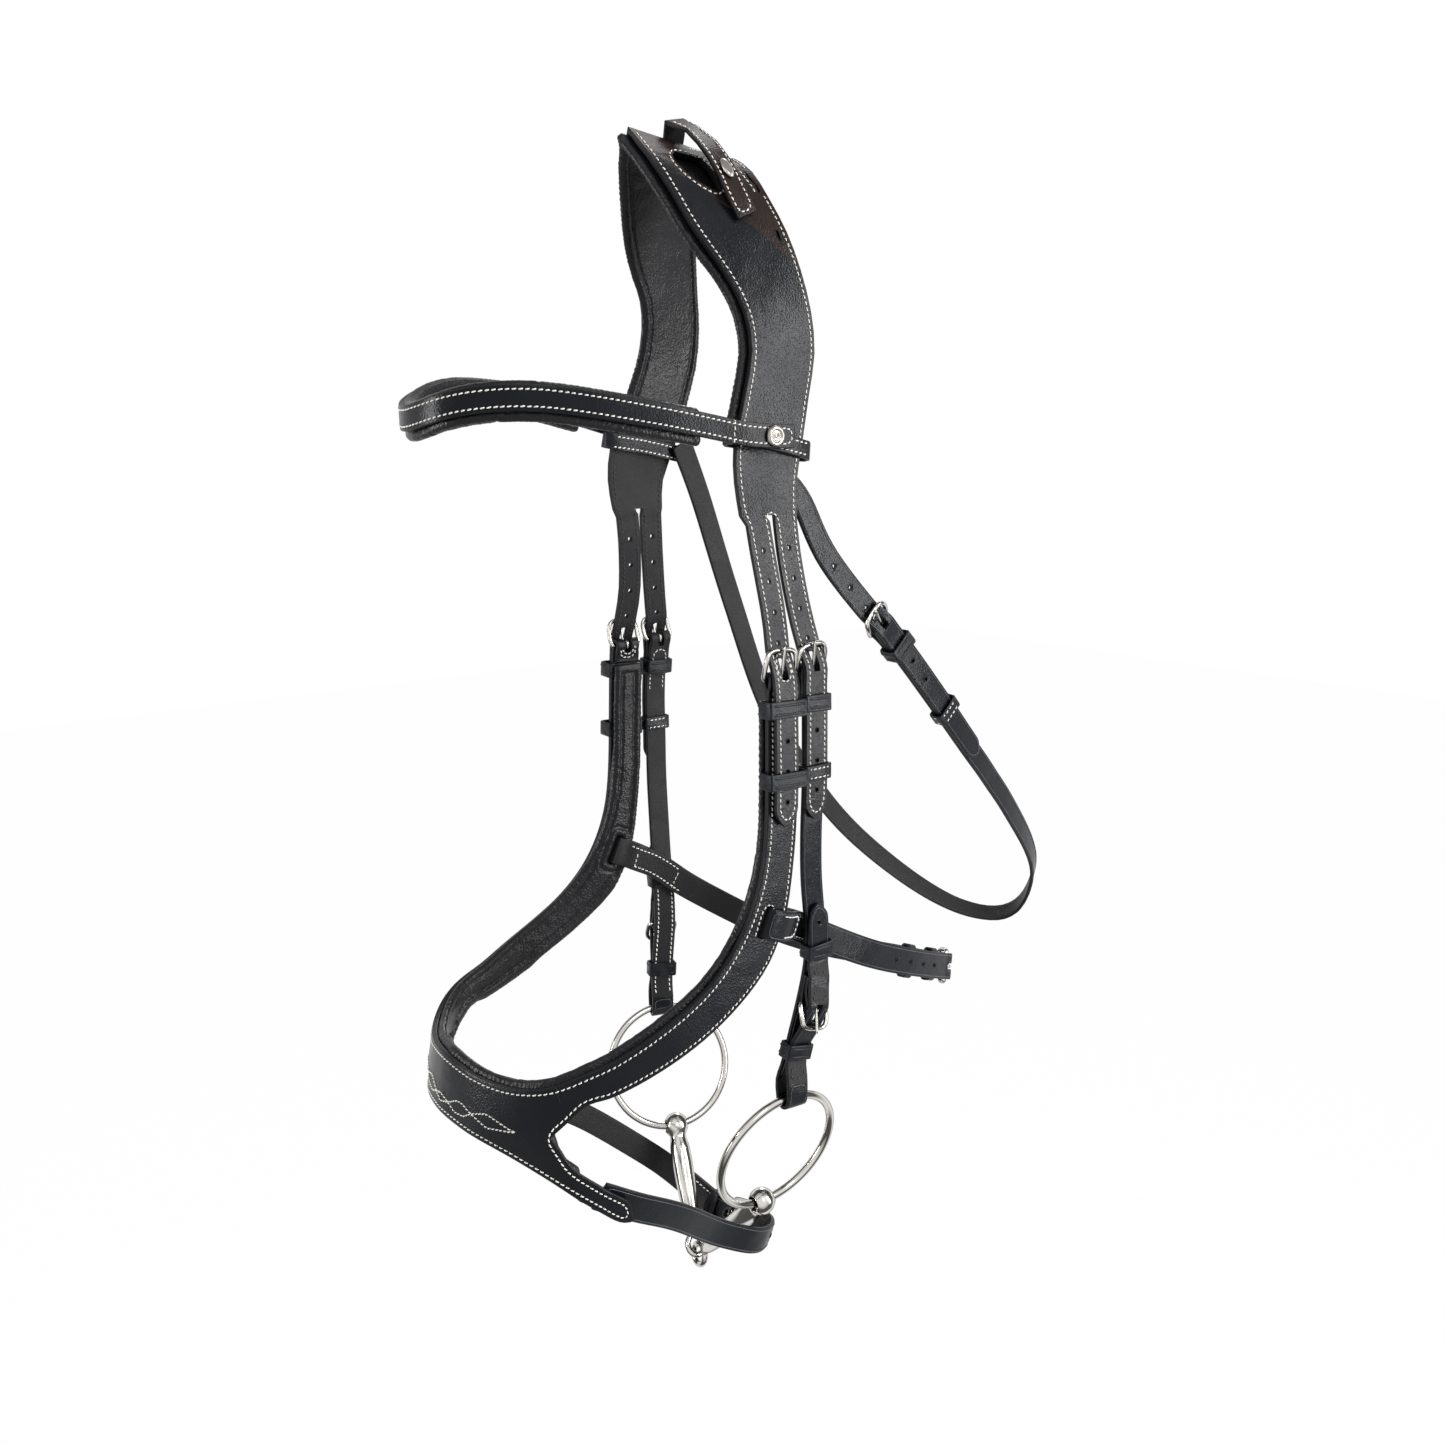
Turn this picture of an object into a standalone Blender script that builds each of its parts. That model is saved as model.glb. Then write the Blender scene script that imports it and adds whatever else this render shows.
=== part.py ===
"""A horse bridle with an anatomical noseband and a jointed loose ring snaffle, hung up as if on a head.

The horse looks along -Y, its left (near) side is +X and up is +Z. Each strap is built in the
coordinates of a lane: s runs along the strap, n stands out from the head and a runs across.
"""

import math

import bmesh
import bpy
from mathutils import Vector

# Sizes of the head form: every place is a share of these three.
FORM_WIDTH = 0.100
FORM_DEPTH = 0.100
FORM_HEIGHT = 0.100
# Where the crown's padding rests on the poll; the model's origin is there.
REST_SHARE = (0, -0.10, 1.747)

# Leather
STRAP_THICKNESS = 0.0022
HEAD_LEATHER = 0.0030
NOSE_LEATHER = 0.0030
PAD_THICKNESS = 0.0048
KEEPER_WALL = 0.0012
CHEEK_WIDTH = 0.0135
BILLET_WIDTH = 0.0140
NOSE_BILLET_WIDTH = 0.0150
NOSE_TOP_WIDTH = 0.0190
THROAT_WIDTH = 0.0130
FLASH_WIDTH = 0.0150
JAW_WIDTH = 0.0160
POLL_WIDTH = 0.0115
KEEPER_HEIGHT = 0.0085
RUNNER_HEIGHT = 0.0080
HOLE_RADIUS = 0.0014
HEAD_HOLES = 4
THROAT_HOLES = 3
JAW_HOLES = 4
FLASH_HOLES = 3
HOLE_PITCH = 0.0155
HOLE_EDGE = 0.0034
HOLE_DEPTH = 0.0015
TIP_LENGTH = 0.0090

# Metal
BUCKLE_WIRE = 0.0014
PRONG_WIRE = 0.0010
RING_WIRE = 0.00225
RING_RADIUS = 0.0373
CANNON_BALL = 0.0080
CANNON_FAT = 0.0066
CANNON_HOLE = 0.0038
EYE_RADIUS = 0.0060
EYE_WIRE = 0.0020
SNAP_RADIUS = 0.0052
SNAP_HEIGHT = 0.0020

# Clearances
GAP = 0.0003
LOOSE = 0.0006
KEEPER_ROOM = 0.0008
RING_SLACK = 0.0012

# How near two points are one point, and a point is on the middle plane
SAME_PLACE = 0.0000003
ON_MIDDLE = 0.00003

# How many sides and steps the round pieces have, and angles in degrees
WIRE_SIDES = 8
PRONG_SIDES = 6
PRONG_STEPS = 7
TURN_STEPS = 8
SNAP_SIDES = 20
CANNON_SIDES = 16
EYE_STEPS = 20
SPLINE_STEPS = 10
BAR_TURN = (200, -20)
RING_TURN = (180, 360)
HOLE_RIM = (-60, -20, 20, 60)
CANNON_BALL_TURN = (145, 115, 90, 60, 30)

# How finely the straps are drawn, and how their pointed ends narrow
STEP = 0.0110
NEAR_SHARE = 0.01
TIP_REACH_SHARES = (0.15, 0.45, 0.75, 1.0)
TIP_END_SHARE = 0.22
PAD_EDGE_SHARE = 0.45
PAD_ROLL_SHARE = 0.09
SLOT_WIDTH = 0.0036

# Round a buckle, all in the seat of its bar
LAYER = (STRAP_THICKNESS + GAP) / 2
CHAPE_TURN = BUCKLE_WIRE + GAP + STRAP_THICKNESS / 2
PRONG_TURN = BUCKLE_WIRE + GAP + PRONG_WIRE
SLOT_REACH = PRONG_TURN + PRONG_WIRE + LOOSE
CHAPE_SLOPE = 0.0075
BILLET_OVER = CHAPE_TURN + STRAP_THICKNESS / 2 + GAP + STRAP_THICKNESS / 2
BILLET_LIE = LAYER + STRAP_THICKNESS / 2 + GAP + STRAP_THICKNESS / 2
BILLET_SLOPE = 0.0090
ARCH_RISE = 0.0054
BILLET_UNDER = ARCH_RISE - BUCKLE_WIRE - LOOSE - STRAP_THICKNESS / 2
PRONG_REST = ARCH_RISE + BUCKLE_WIRE + GAP + PRONG_WIRE
PRONG_PAST = 0.0016
ARCH_SHARE = 0.9
BILLET_LEAD = 0.0440
FLASH_LEAD = 0.0660
THROAT_RISE = 0.0330
SLOT_SHARE = 0.72

MATERIALS = {
    "leather": ((0.020, 0.021, 0.025), 0.34, 0.0),
    "lining": ((0.026, 0.026, 0.029), 0.62, 0.0),
    "steel": ((0.62, 0.60, 0.57), 0.16, 1.0),
}

# Places of the near side, as shares of the head form, and the way the outer face looks.
FRONT_LANE_SHARES = (
    ((0.620, -0.075, 0.04), (1, 0, 0)),
    ((0.635, -0.045, -0.20), (1, 0, 0)),
    ((0.680, -0.025, -0.45), (1, 0, 0)),
    ((0.722, -0.034, -0.62), (1, 0, 0)),
    ((0.746, -0.035, -0.74), (1, 0, 0)),
    ((0.758, -0.034, -0.82), (1, 0, 0)),
    ((0.768, -0.0375, -0.96), (1, 0, 0)),
    ((0.779, -0.0435, -1.25), (1, 0, 0)),
    ((0.783, -0.056, -1.54), (1, 0, 0)),
    ((0.784, -0.078, -1.72), (1, 0, 0)),
)
CHEEK_LANE_SHARES = (
    ((0.630, 0.090, 0.04), (1, 0, 0)),
    ((0.645, 0.112, -0.22), (1, 0, 0)),
    ((0.680, 0.145, -0.47), (1, 0, 0)),
    ((0.715, 0.178, -0.66), (1, 0, 0)),
    ((0.745, 0.184, -0.85), (1, 0, 0)),
    ((0.760, 0.175, -1.10), (1, 0, 0)),
    ((0.760, 0.175, -1.35), (1, 0, 0)),
    ((0.755, 0.170, -1.60), (1, 0, 0)),
    ((0.740, 0.185, -1.87), (1, 0, 0)),
    ((0.725, 0.225, -2.15), (1, 0, 0)),
    ((0.712, 0.230, -2.35), (1, 0, 0)),
    ((0.698, 0.190, -2.57), (1, 0, 0)),
    ((0.688, 0.130, -2.79), (1, 0, 0)),
    ((0.675, 0.088, -2.98), (1, 0, 0)),
    ((0.668, 0.077, -3.10), (1, 0, 0)),
)
# The far cheek strap leaves the near one's mirror image here: its lower end turns its face.
FAR_CHEEK_END_SHARES = (
    ((-0.740, 0.170, -1.87), (-1, 0.02, 0)),
    ((-0.725, 0.172, -2.15), (-1, 0.06, 0)),
    ((-0.712, 0.180, -2.35), (-1, 0.16, 0)),
    ((-0.698, 0.175, -2.57), (-1, 0.28, 0)),
    ((-0.688, 0.145, -2.79), (-1, 0.33, 0)),
    ((-0.675, 0.125, -2.99), (-1, 0.33, 0)),
    ((-0.668, 0.125, -3.11), (-1, 0.33, 0)),
)

CROWN_FRONT_SHARES = (
    (0.610, -0.165, 0.02), (0.607, -0.190, 0.18), (0.590, -0.178, 0.36), (0.562, -0.106, 0.57),
    (0.528, -0.033, 0.80), (0.474, -0.027, 0.98), (0.418, -0.069, 1.12), (0.374, -0.140, 1.24),
    (0.306, -0.222, 1.39), (0.222, -0.282, 1.56), (0.118, -0.338, 1.73), (0.0, -0.375, 1.86),
)
CROWN_REAR_SHARES = (
    (0.630, 0.165, 0.02), (0.620, 0.170, 0.18), (0.585, 0.237, 0.38), (0.562, 0.294, 0.59),
    (0.543, 0.347, 0.80), (0.514, 0.348, 1.00), (0.478, 0.310, 1.20), (0.422, 0.267, 1.38),
    (0.344, 0.220, 1.54), (0.240, 0.194, 1.68), (0.116, 0.183, 1.76), (0.0, 0.175, 1.79),
)
CROWN_CENTRE_SHARE = (0, 0, 1.0)
HEAD_PAD_REACH_SHARES = (-0.10, 0.96)
HEAD_PAD_ROW_SHARE = 2.5

NOSE_FRONT_SHARES = (
    (0.755, -0.120, -0.82), (0.765, -0.130, -0.96), (0.775, -0.138, -1.25), (0.780, -0.150, -1.53),
    (0.782, -0.185, -1.77), (0.785, -0.270, -1.98), (0.790, -0.385, -2.14), (0.795, -0.535, -2.27),
    (0.792, -0.713, -2.37), (0.775, -0.890, -2.45), (0.740, -1.055, -2.52), (0.710, -1.172, -2.55),
    (0.670, -1.275, -2.585), (0.590, -1.375, -2.62), (0.440, -1.480, -2.64), (0.230, -1.570, -2.625),
    (0.0, -1.605, -2.60),
)
NOSE_REAR_SHARES = (
    (0.760, 0.065, -0.82), (0.770, 0.060, -0.96), (0.780, 0.051, -1.25), (0.780, 0.040, -1.55),
    (0.780, 0.015, -1.78), (0.780, -0.027, -2.01), (0.785, -0.137, -2.24), (0.800, -0.347, -2.41),
    (0.802, -0.565, -2.53), (0.790, -0.763, -2.61), (0.770, -0.938, -2.665), (0.745, -1.093, -2.70),
    (0.705, -1.208, -2.715), (0.650, -1.365, -2.85), (0.480, -1.495, -2.82), (0.250, -1.590, -2.79),
    (0.0, -1.625, -2.77),
)
# The lower arm of the nose piece, from the crotch row forward it shares the rows above.
ARM_TOP_SHARES = (
    (0.765, -1.00, -3.27), (0.755, -1.09, -3.20), (0.725, -1.19, -3.11), (0.685, -1.285, -3.01),
)
ARM_LOW_SHARES = (
    (0.765, -0.98, -3.39), (0.760, -1.06, -3.37), (0.740, -1.17, -3.27), (0.710, -1.27, -3.18),
    (0.640, -1.350, -3.105), (0.470, -1.500, -2.985), (0.250, -1.610, -2.93), (0.0, -1.650, -2.91),
)
CROTCH_ROW = 13
NOSE_CENTRE_SHARE = (0, -0.6, -2.6)
ARM_CENTRE_SHARE = (0, -0.6, -3.0)

BROW_TOP_SHARES = (
    (0.655, 0.130, 0.455), (0.657, 0.000, 0.455), (0.650, -0.160, 0.465), (0.635, -0.300, 0.49),
    (0.620, -0.500, 0.525), (0.595, -0.720, 0.56), (0.552, -0.950, 0.595), (0.489, -1.160, 0.62),
    (0.403, -1.340, 0.62), (0.288, -1.480, 0.60), (0.160, -1.555, 0.57), (0.0, -1.585, 0.545),
    (-0.160, -1.555, 0.555), (-0.288, -1.480, 0.595), (-0.403, -1.340, 0.65), (-0.489, -1.160, 0.685),
    (-0.552, -0.950, 0.685), (-0.595, -0.720, 0.665), (-0.620, -0.500, 0.62), (-0.635, -0.300, 0.575),
    (-0.650, -0.160, 0.54), (-0.657, 0.000, 0.52), (-0.655, 0.130, 0.51),
)
BROW_CENTRE_SHARE = (0, -0.4, 0.5)
BROW_HEIGHT = 0.0115
BROW_LEATHER = 0.0028
BROW_PAD = 0.0045
BROW_PAD_REACH_SHARES = (-0.12, 1.34)
LOOP_WIDTH = 0.0090
LOOP_LANE_SHARES = (
    ((0.564, -0.220, 0.402), (1, 0, 0.16)),
    ((0.567, -0.140, 0.392), (1, 0, 0.16)),
    ((0.569, 0.000, 0.375), (1, 0, 0.16)),
    ((0.570, 0.130, 0.35), (1, 0, 0.16)),
    ((0.572, 0.270, 0.32), (1, 0, 0.16)),
)

POLL_LANE_SHARES = (
    ((0.367, 0.062, 1.446), (0.90, -0.22, 0.38)),
    ((0.343, 0.033, 1.517), (0.87, -0.22, 0.43)),
    ((0.288, 0.012, 1.632), (0.80, -0.18, 0.55)),
    ((0.200, -0.015, 1.760), (0.68, -0.12, 0.73)),
    ((0.125, -0.025, 1.828), (0.50, -0.15, 0.85)),
    ((0.065, -0.065, 1.885), (0.25, -0.20, 0.95)),
    ((0.0, -0.105, 1.918), (0, -0.22, 1)),
)

THROAT_LANE_SHARES = (
    ((0.565, 0.130, 0.20), (1, 0, 0.2)),
    ((0.592, 0.222, 0.10), (1, 0, 0.1)),
    ((0.655, 0.305, -0.16), (1, 0, 0)),
    ((0.680, 0.550, -0.446), (1, 0, 0)),
    ((0.680, 0.801, -0.673), (1, 0, 0)),
    ((0.660, 1.153, -1.038), (1, 0, 0)),
    ((0.600, 1.510, -1.390), (1, 0.1, 0)),
    ((0.500, 2.000, -1.851), (0.95, 0.3, -0.1)),
    ((0.310, 2.505, -2.400), (0.70, 0.65, -0.3)),
    ((0.050, 2.610, -2.835), (0.15, 0.60, -0.80)),
    ((-0.160, 2.337, -2.825), (-0.40, 0.35, -0.85)),
    ((-0.310, 1.865, -2.505), (-0.75, 0.20, -0.60)),
    ((-0.420, 1.307, -1.965), (-0.92, 0.10, -0.30)),
    ((-0.510, 0.880, -1.284), (-1, 0, -0.1)),
    ((-0.550, 0.612, -0.562), (-1, 0, 0)),
    ((-0.550, 0.395, 0.049), (-1, 0, 0)),
    ((-0.530, 0.300, 0.250), (-1, 0, 0.1)),
    ((-0.516, 0.235, 0.380), (-1, 0, 0.1)),
)

# Far arm, round the chin and up to the near arm.
FLASH_LANE_SHARES = (
    ((-0.722, -1.150, -3.22), (-0.9, -0.4, 0)),
    ((-0.745, -1.000, -3.32), (-1, -0.2, 0)),
    ((-0.740, -0.780, -3.45), (-1, 0, -0.1)),
    ((-0.700, -0.480, -3.66), (-1, 0, -0.2)),
    ((-0.610, -0.190, -3.91), (-0.9, 0.2, -0.3)),
    ((-0.480, 0.010, -4.09), (-0.75, 0.45, -0.4)),
    ((-0.320, 0.115, -4.21), (-0.5, 0.7, -0.45)),
    ((-0.120, 0.170, -4.27), (-0.2, 0.85, -0.45)),
    ((0.100, 0.200, -4.22), (0.2, 0.85, -0.45)),
    ((0.285, 0.200, -4.16), (0.5, 0.7, -0.4)),
    ((0.440, 0.130, -4.11), (0.75, 0.65, -0.3)),
    ((0.565, -0.070, -4.01), (0.95, 0.35, -0.2)),
    ((0.585, -0.320, -3.85), (0.95, 0.2, -0.2)),
    ((0.700, -0.660, -3.55), (1, 0, -0.1)),
    ((0.745, -0.950, -3.35), (1, -0.2, 0)),
    ((0.722, -1.150, -3.22), (0.9, -0.4, 0)),
)

# Near slot, along the near side to the buckle, and round the rear to the far slot.
JAW_LANE_SHARES = (
    ((0.790, -0.165, -2.01), (1, 0, 0)),
    ((0.790, -0.080, -2.045), (1, 0, 0)),
    ((0.735, 0.040, -2.09), (1, 0.1, 0)),
    ((0.685, 0.160, -2.15), (1, 0.1, 0)),
    ((0.673, 0.330, -2.25), (1, 0.1, 0)),
    ((0.665, 0.700, -2.45), (0.95, 0.2, 0)),
    ((0.600, 1.100, -2.63), (0.9, 0.35, 0)),
    ((0.440, 1.560, -2.83), (0.8, 0.55, 0)),
    ((0.250, 1.700, -2.90), (0.2, 0.95, 0)),
    ((0.050, 1.430, -2.84), (-0.5, 0.85, 0)),
    ((-0.150, 1.060, -2.74), (-0.8, 0.55, 0)),
    ((-0.380, 0.720, -2.59), (-0.85, 0.5, 0)),
    ((-0.570, 0.470, -2.43), (-0.9, 0.4, 0)),
    ((-0.650, 0.260, -2.28), (-0.95, 0.3, 0)),
    ((-0.672, 0.130, -2.17), (-1, 0.1, 0)),
    ((-0.700, 0.050, -2.12), (-1, 0.1, 0)),
    ((-0.790, -0.072, -2.055), (-1, 0, 0)),
    ((-0.790, -0.165, -2.01), (-1, 0, 0)),
)

# Outline of a buckle's arch, and how far a prong's tip curls round it, in degrees
FRAME_SHARES = ((0, 0), (0, 0.5), (0, 0.93), (-0.1, 1), (-0.5, 1), (-0.8, 0.94), (-0.95, 0.74), (-1, 0.4),
                (-1, 0))
PRONG_CURL = 245

# The headpiece: where its billets start and end, its windows and the fitting on its strap
HEAD_START = 0.0060
HEAD_SPLIT_SHARES = (0.41, 0.59)
HEAD_TIP_SHARE = -1.51
TEARDROP_SHARES = ((0.10, -0.20, 1.72), (0.09, -0.17, 1.75), (0.13, -0.04, 1.73), (0.17, -0.02, 1.65),
                   (0.24, -0.02, 1.52), (0.20, -0.13, 1.59), (0.13, -0.20, 1.67))
REAR_SLOT_SHARES = ((0.18, 0.15, 1.66), (0.25, 0.18, 1.57), (0.30, 0.20, 1.46), (0.35, 0.22, 1.37),
                    (0.39, 0.23, 1.29), (0.35, 0.19, 1.34), (0.31, 0.17, 1.43))
WINDOW_FACE_SHARES = (0.83, 0, 0.55)
STUD_SHARE = (0.24, 0.085, 1.65)
STUD_LENGTH = 0.0115
STUD_WIDTH = 0.0055
STUD_HEIGHT = 0.0015
STUD_SIDES = 14
STUD_LEVEL_SHARES = ((0, 1), (0.6, 1), (1, 0.7))
HEAD_PAD_LIE = 0.0009

# How high the bars, keepers and runners of the straps hang
NOSE_BAR_SHARE = -0.77
CHEEK_BAR_SHARE = -0.75
BIT_BAR_SHARE = -2.56
THROAT_BAR_SHARE = -0.57
THROAT_TIP_SHARE = -1.40
THROAT_KEEPER_SHARE = -0.70
THROAT_RUNNER_SHARE = -1.09
CHEEK_KEEPER_SHARE = -0.91
CHEEK_RUNNER_SHARE = -1.27
NOSE_UPPER_SHARE = -0.92
NOSE_LOWER_SHARE = -1.25

# Browband ends and the press studs' turned caps
BROW_PAD_ROW_SHARE = 3.5
SNAP_ROW_SHARE = 1.0
SNAP_SHARES = ((0, 0.96), (0.35, 1), (0.7, 0.93), (0.8, 0.72), (0.62, 0.62), (0.75, 0.5), (1, 0.3), (1, 0.0))

# How far the folded ends of the straps reach behind their stitching
CHAPE_END = 0.0220
NOSE_CHAPE_END = 0.0100
BIT_CHAPE_END = 0.0155

# The cheek strap round the bit ring, in the seat of its lower buckle
BIT_LIFT = STRAP_THICKNESS / 2 + GAP + PRONG_TURN + PRONG_WIRE
BIT_LEG = ((0.0440, 0.0078), (0.0380, 0.0052), (0.0340, 0.0030), (0.0240, 0.0030))
BIT_BULGE = 0.0030
BULGE_START = 0.0165
BULGE_TOP = 0.0088
BIT_FALL = BIT_LIFT - LAYER - STRAP_THICKNESS + LOOSE
BIT_LIE = LAYER - BIT_FALL + STRAP_THICKNESS + GAP
BIT_REST = STRAP_THICKNESS + LOOSE - BIT_LIFT
BIT_SLOPE = 0.0110
BIT_DROP = 0.0060
BIT_TIP = 0.0570
BIT_UPPER = 0.0300
BIT_LOWER = -0.0280

# The noseband's padding, which is drawn back under the keepers
NOSE_LIE = NOSE_LEATHER + 2 * LOOSE + STRAP_THICKNESS / 2
NOSE_PAD_DEPTH = 0.0052
NOSE_PAD_CLEAR = KEEPER_WALL + KEEPER_ROOM + LOOSE + GAP
NOSE_PAD_LOW_SHARES = (-0.02, -0.11)
NOSE_PAD_SPREAD_SHARES = (3, 8)
NOSE_PAD_HIGH_SHARE = 0.96
NOSE_PAD_MORE_SHARE = 0.08
NOSE_PAD_WIDE_ROW_SHARE = 9
NOSE_PAD_ROW_SHARE = 0.5
ARM_PAD_ROW_SHARE = 2.5
KEEPER_END_ROW_SHARE = 2.5

# Jaw strap and flash strap: bars, folds round the noseband, tips and keepers
JAW_BAR_SHARE = (0.44, 1.56, -2.83)
FOLD_EDGE = 0.0180
FOLD_ROOM = 0.0018
FOLD_END = 0.0290
FOLD_SIDE_SHARE = 0.25
FOLD_TOP_SHARE = 0.333
JAW_TIP = 0.0620
JAW_KEEPER = 0.0150
JAW_RUNNER = 0.0480
FLASH_BAR_SHARE = (0.02, 0.172, -4.25)
FLASH_TIP = 0.0480
FLASH_KEEPER = 0.0170

# The bit: the lean of its rings in degrees, the joint, the eyes and a cannon's girth
RING_LEANS = {"near": 12, "far": 16}
RING_STEPS = 36
MOUTH_SHARE = (-0.01, -0.08, -4.42)
EYE_NEAR = 0.0018
EYE_FAR = 0.0060
CANNON_SHARES = ((0, 0.35), (0.08, 0.62), (0.25, 0.78), (0.55, 0.95), (0.8, 1.0), (0.93, 0.93))


def place(share):
    """The point of a share of the head form, counted from where the crown rests."""
    x, y, z = (a - b for a, b in zip(share, REST_SHARE))
    return Vector((x * FORM_WIDTH, y * FORM_DEPTH, z * FORM_HEIGHT))


def mirrored(rows):
    """The same lane on the far side."""
    return [((-spot[0], spot[1], spot[2]), (-face[0], face[1], face[2])) for spot, face in rows]


def spline(points, t):
    """A smooth curve through the points, t counting them from 0."""
    last = len(points) - 1
    i = min(max(int(t), 0), last - 1)
    f = t - i
    p1, p2 = points[i], points[i + 1]
    p0 = points[i - 1] if i > 0 else p1 + (p1 - p2)
    p3 = points[i + 2] if i + 2 <= last else p2 + (p2 - p1)
    bend = (p0 * 2 - p1 * 5 + p2 * 4 - p3) * f * f
    twist = (p1 * 3 - p0 - p2 * 3 + p3) * f * f * f
    return (p1 * 2 + (p2 - p0) * f + bend + twist) / 2


class Lane:
    """A smooth run of a strap: inset below the places on its outer face, with the way that face looks."""

    def __init__(self, rows, inset):
        looks = [Vector(row[1]).normalized() for row in rows]
        places = [place(row[0]) - look * inset for row, look in zip(rows, looks)]
        count = (len(rows) - 1) * SPLINE_STEPS
        steps = [k * (len(rows) - 1) / count for k in range(count + 1)]
        self.points = [spline(places, t) for t in steps]
        self.looks = [spline(looks, t) for t in steps]
        self.lengths = [0.0]
        for a, b in zip(self.points, self.points[1:]):
            self.lengths.append(self.lengths[-1] + (b - a).length)
        self.length = self.lengths[-1]

    def frame(self, s):
        """Place, way along, way out and way across at the distance s."""
        i = 0
        while i < len(self.lengths) - 2 and self.lengths[i + 1] < s:
            i += 1
        a, b = self.points[i], self.points[i + 1]
        f = (s - self.lengths[i]) / (self.lengths[i + 1] - self.lengths[i])
        before = self.points[max(i - 1, 0)]
        after = self.points[min(i + 2, len(self.points) - 1)]
        inside = min(max(f, 0.0), 1.0)
        start = (b - before).normalized()
        along = start.lerp((after - a).normalized(), inside).normalized()
        look = self.looks[i].lerp(self.looks[i + 1], inside)
        out = (look - along * look.dot(along)).normalized()
        return a.lerp(b, f), along, out, along.cross(out)

    def spot(self, s, n, a):
        point, _, out, across = self.frame(s)
        return point + out * n + across * a

    def at_rise(self, rise_share):
        """The distance at which the lane first comes down to a height."""
        for length, point in zip(self.lengths, self.points):
            if point.z <= (rise_share - REST_SHARE[2]) * FORM_HEIGHT:
                return length
        return self.length

    def nearest(self, share):
        goal = place(share)
        best = min(range(len(self.points)), key=lambda k: (self.points[k] - goal).length)
        return self.lengths[best]


class Seat:
    """Lane coordinates counted from a buckle's bar, u towards the strap's tip and n out of its face."""

    def __init__(self, lane, start=0.0, way=1, lift=0.0, turn=1):
        self.lane, self.start, self.way, self.lift, self.turn = lane, start, way, lift, turn

    def spot(self, u, n, a):
        return self.lane.spot(self.start + self.way * u, self.lift + self.turn * n, a)

    def frame(self, u):
        point, along, out, across = self.lane.frame(self.start + self.way * u)
        return point + out * self.lift, along * self.way, out * self.turn, across

    def at(self, lane_s):
        """The u of a place of the lane."""
        return (lane_s - self.start) * self.way


def material(name):
    found = bpy.data.materials.get(name)
    if found:
        return found
    colour, roughness, metallic = MATERIALS[name]
    made = bpy.data.materials.new(name)
    made.use_nodes = True
    shader = made.node_tree.nodes["Principled BSDF"]
    shader.inputs["Base Color"].default_value = (*colour, 1)
    shader.inputs["Roughness"].default_value = roughness
    shader.inputs["Metallic"].default_value = metallic
    return made


def add_object(name, points, faces, kind, smooth=False):
    """A mesh object with its faces turned out, or a cutter where kind is None."""
    mesh = bpy.data.meshes.new(name)
    mesh.from_pydata([tuple(p) for p in points], [], faces)
    mesh.validate()
    made = bpy.data.objects.new(name, mesh)
    bpy.context.scene.collection.objects.link(made)
    turn_out(mesh)
    if kind is None:
        made.hide_render = True
        made.display_type = "WIRE"
    else:
        colour = material(kind).copy()
        colour.name = name + "_" + kind
        mesh.materials.append(colour)
    if smooth:
        for face in mesh.polygons:
            face.use_smooth = True
    return made


def turn_out(mesh):
    work = bmesh.new()
    work.from_mesh(mesh)
    bmesh.ops.remove_doubles(work, verts=work.verts, dist=SAME_PLACE)
    bmesh.ops.recalc_face_normals(work, faces=work.faces)
    if work.calc_volume(signed=True) < 0:
        bmesh.ops.reverse_faces(work, faces=work.faces)
    work.to_mesh(mesh)
    work.free()


def slab(name, skins, cells, kind):
    """A sheet with two skins: skins gives each key an outer and an inner point."""
    keys = list(skins)
    number = {key: 2 * k for k, key in enumerate(keys)}
    points = [point for key in keys for point in skins[key]]
    faces = []
    uses = {}
    for cell in cells:
        outer = [number[key] for key in cell]
        faces.append(outer)
        faces.append([k + 1 for k in reversed(outer)])
        for a, b in zip(outer, outer[1:] + outer[:1]):
            uses.setdefault((min(a, b), max(a, b)), []).append((a, b))
    for edges in uses.values():
        if len(edges) == 1:
            a, b = edges[0]
            faces.append([b, a, a + 1, b + 1])
    return add_object(name, points, faces, kind)


def divided(profile, step):
    """The profile with its long pieces divided; a third value marks a piece with an open middle."""
    made = []
    for a, b in zip(profile, profile[1:]):
        parts = max(1, math.ceil(math.dist(a[:2], b[:2]) / step))
        for k in range(parts):
            f = k / parts
            made.append((a[0] + (b[0] - a[0]) * f, a[1] + (b[1] - a[1]) * f, len(a) > 2))
    made.append((*profile[-1][:2], False))
    return made


def curl(radius, start, end, steps, centre=(0, 0)):
    """Part of a circle in (u, n): angle 0 is its outer side, 90 its side towards -u."""
    made = []
    for k in range(steps + 1):
        angle = math.radians(start + (end - start) * k / steps)
        made.append((centre[0] - radius * math.sin(angle), centre[1] + radius * math.cos(angle)))
    return made


def reaches(path):
    made = [0.0]
    for a, b in zip(path, path[1:]):
        made.append(made[-1] + math.dist(a[:2], b[:2]))
    return made


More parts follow.
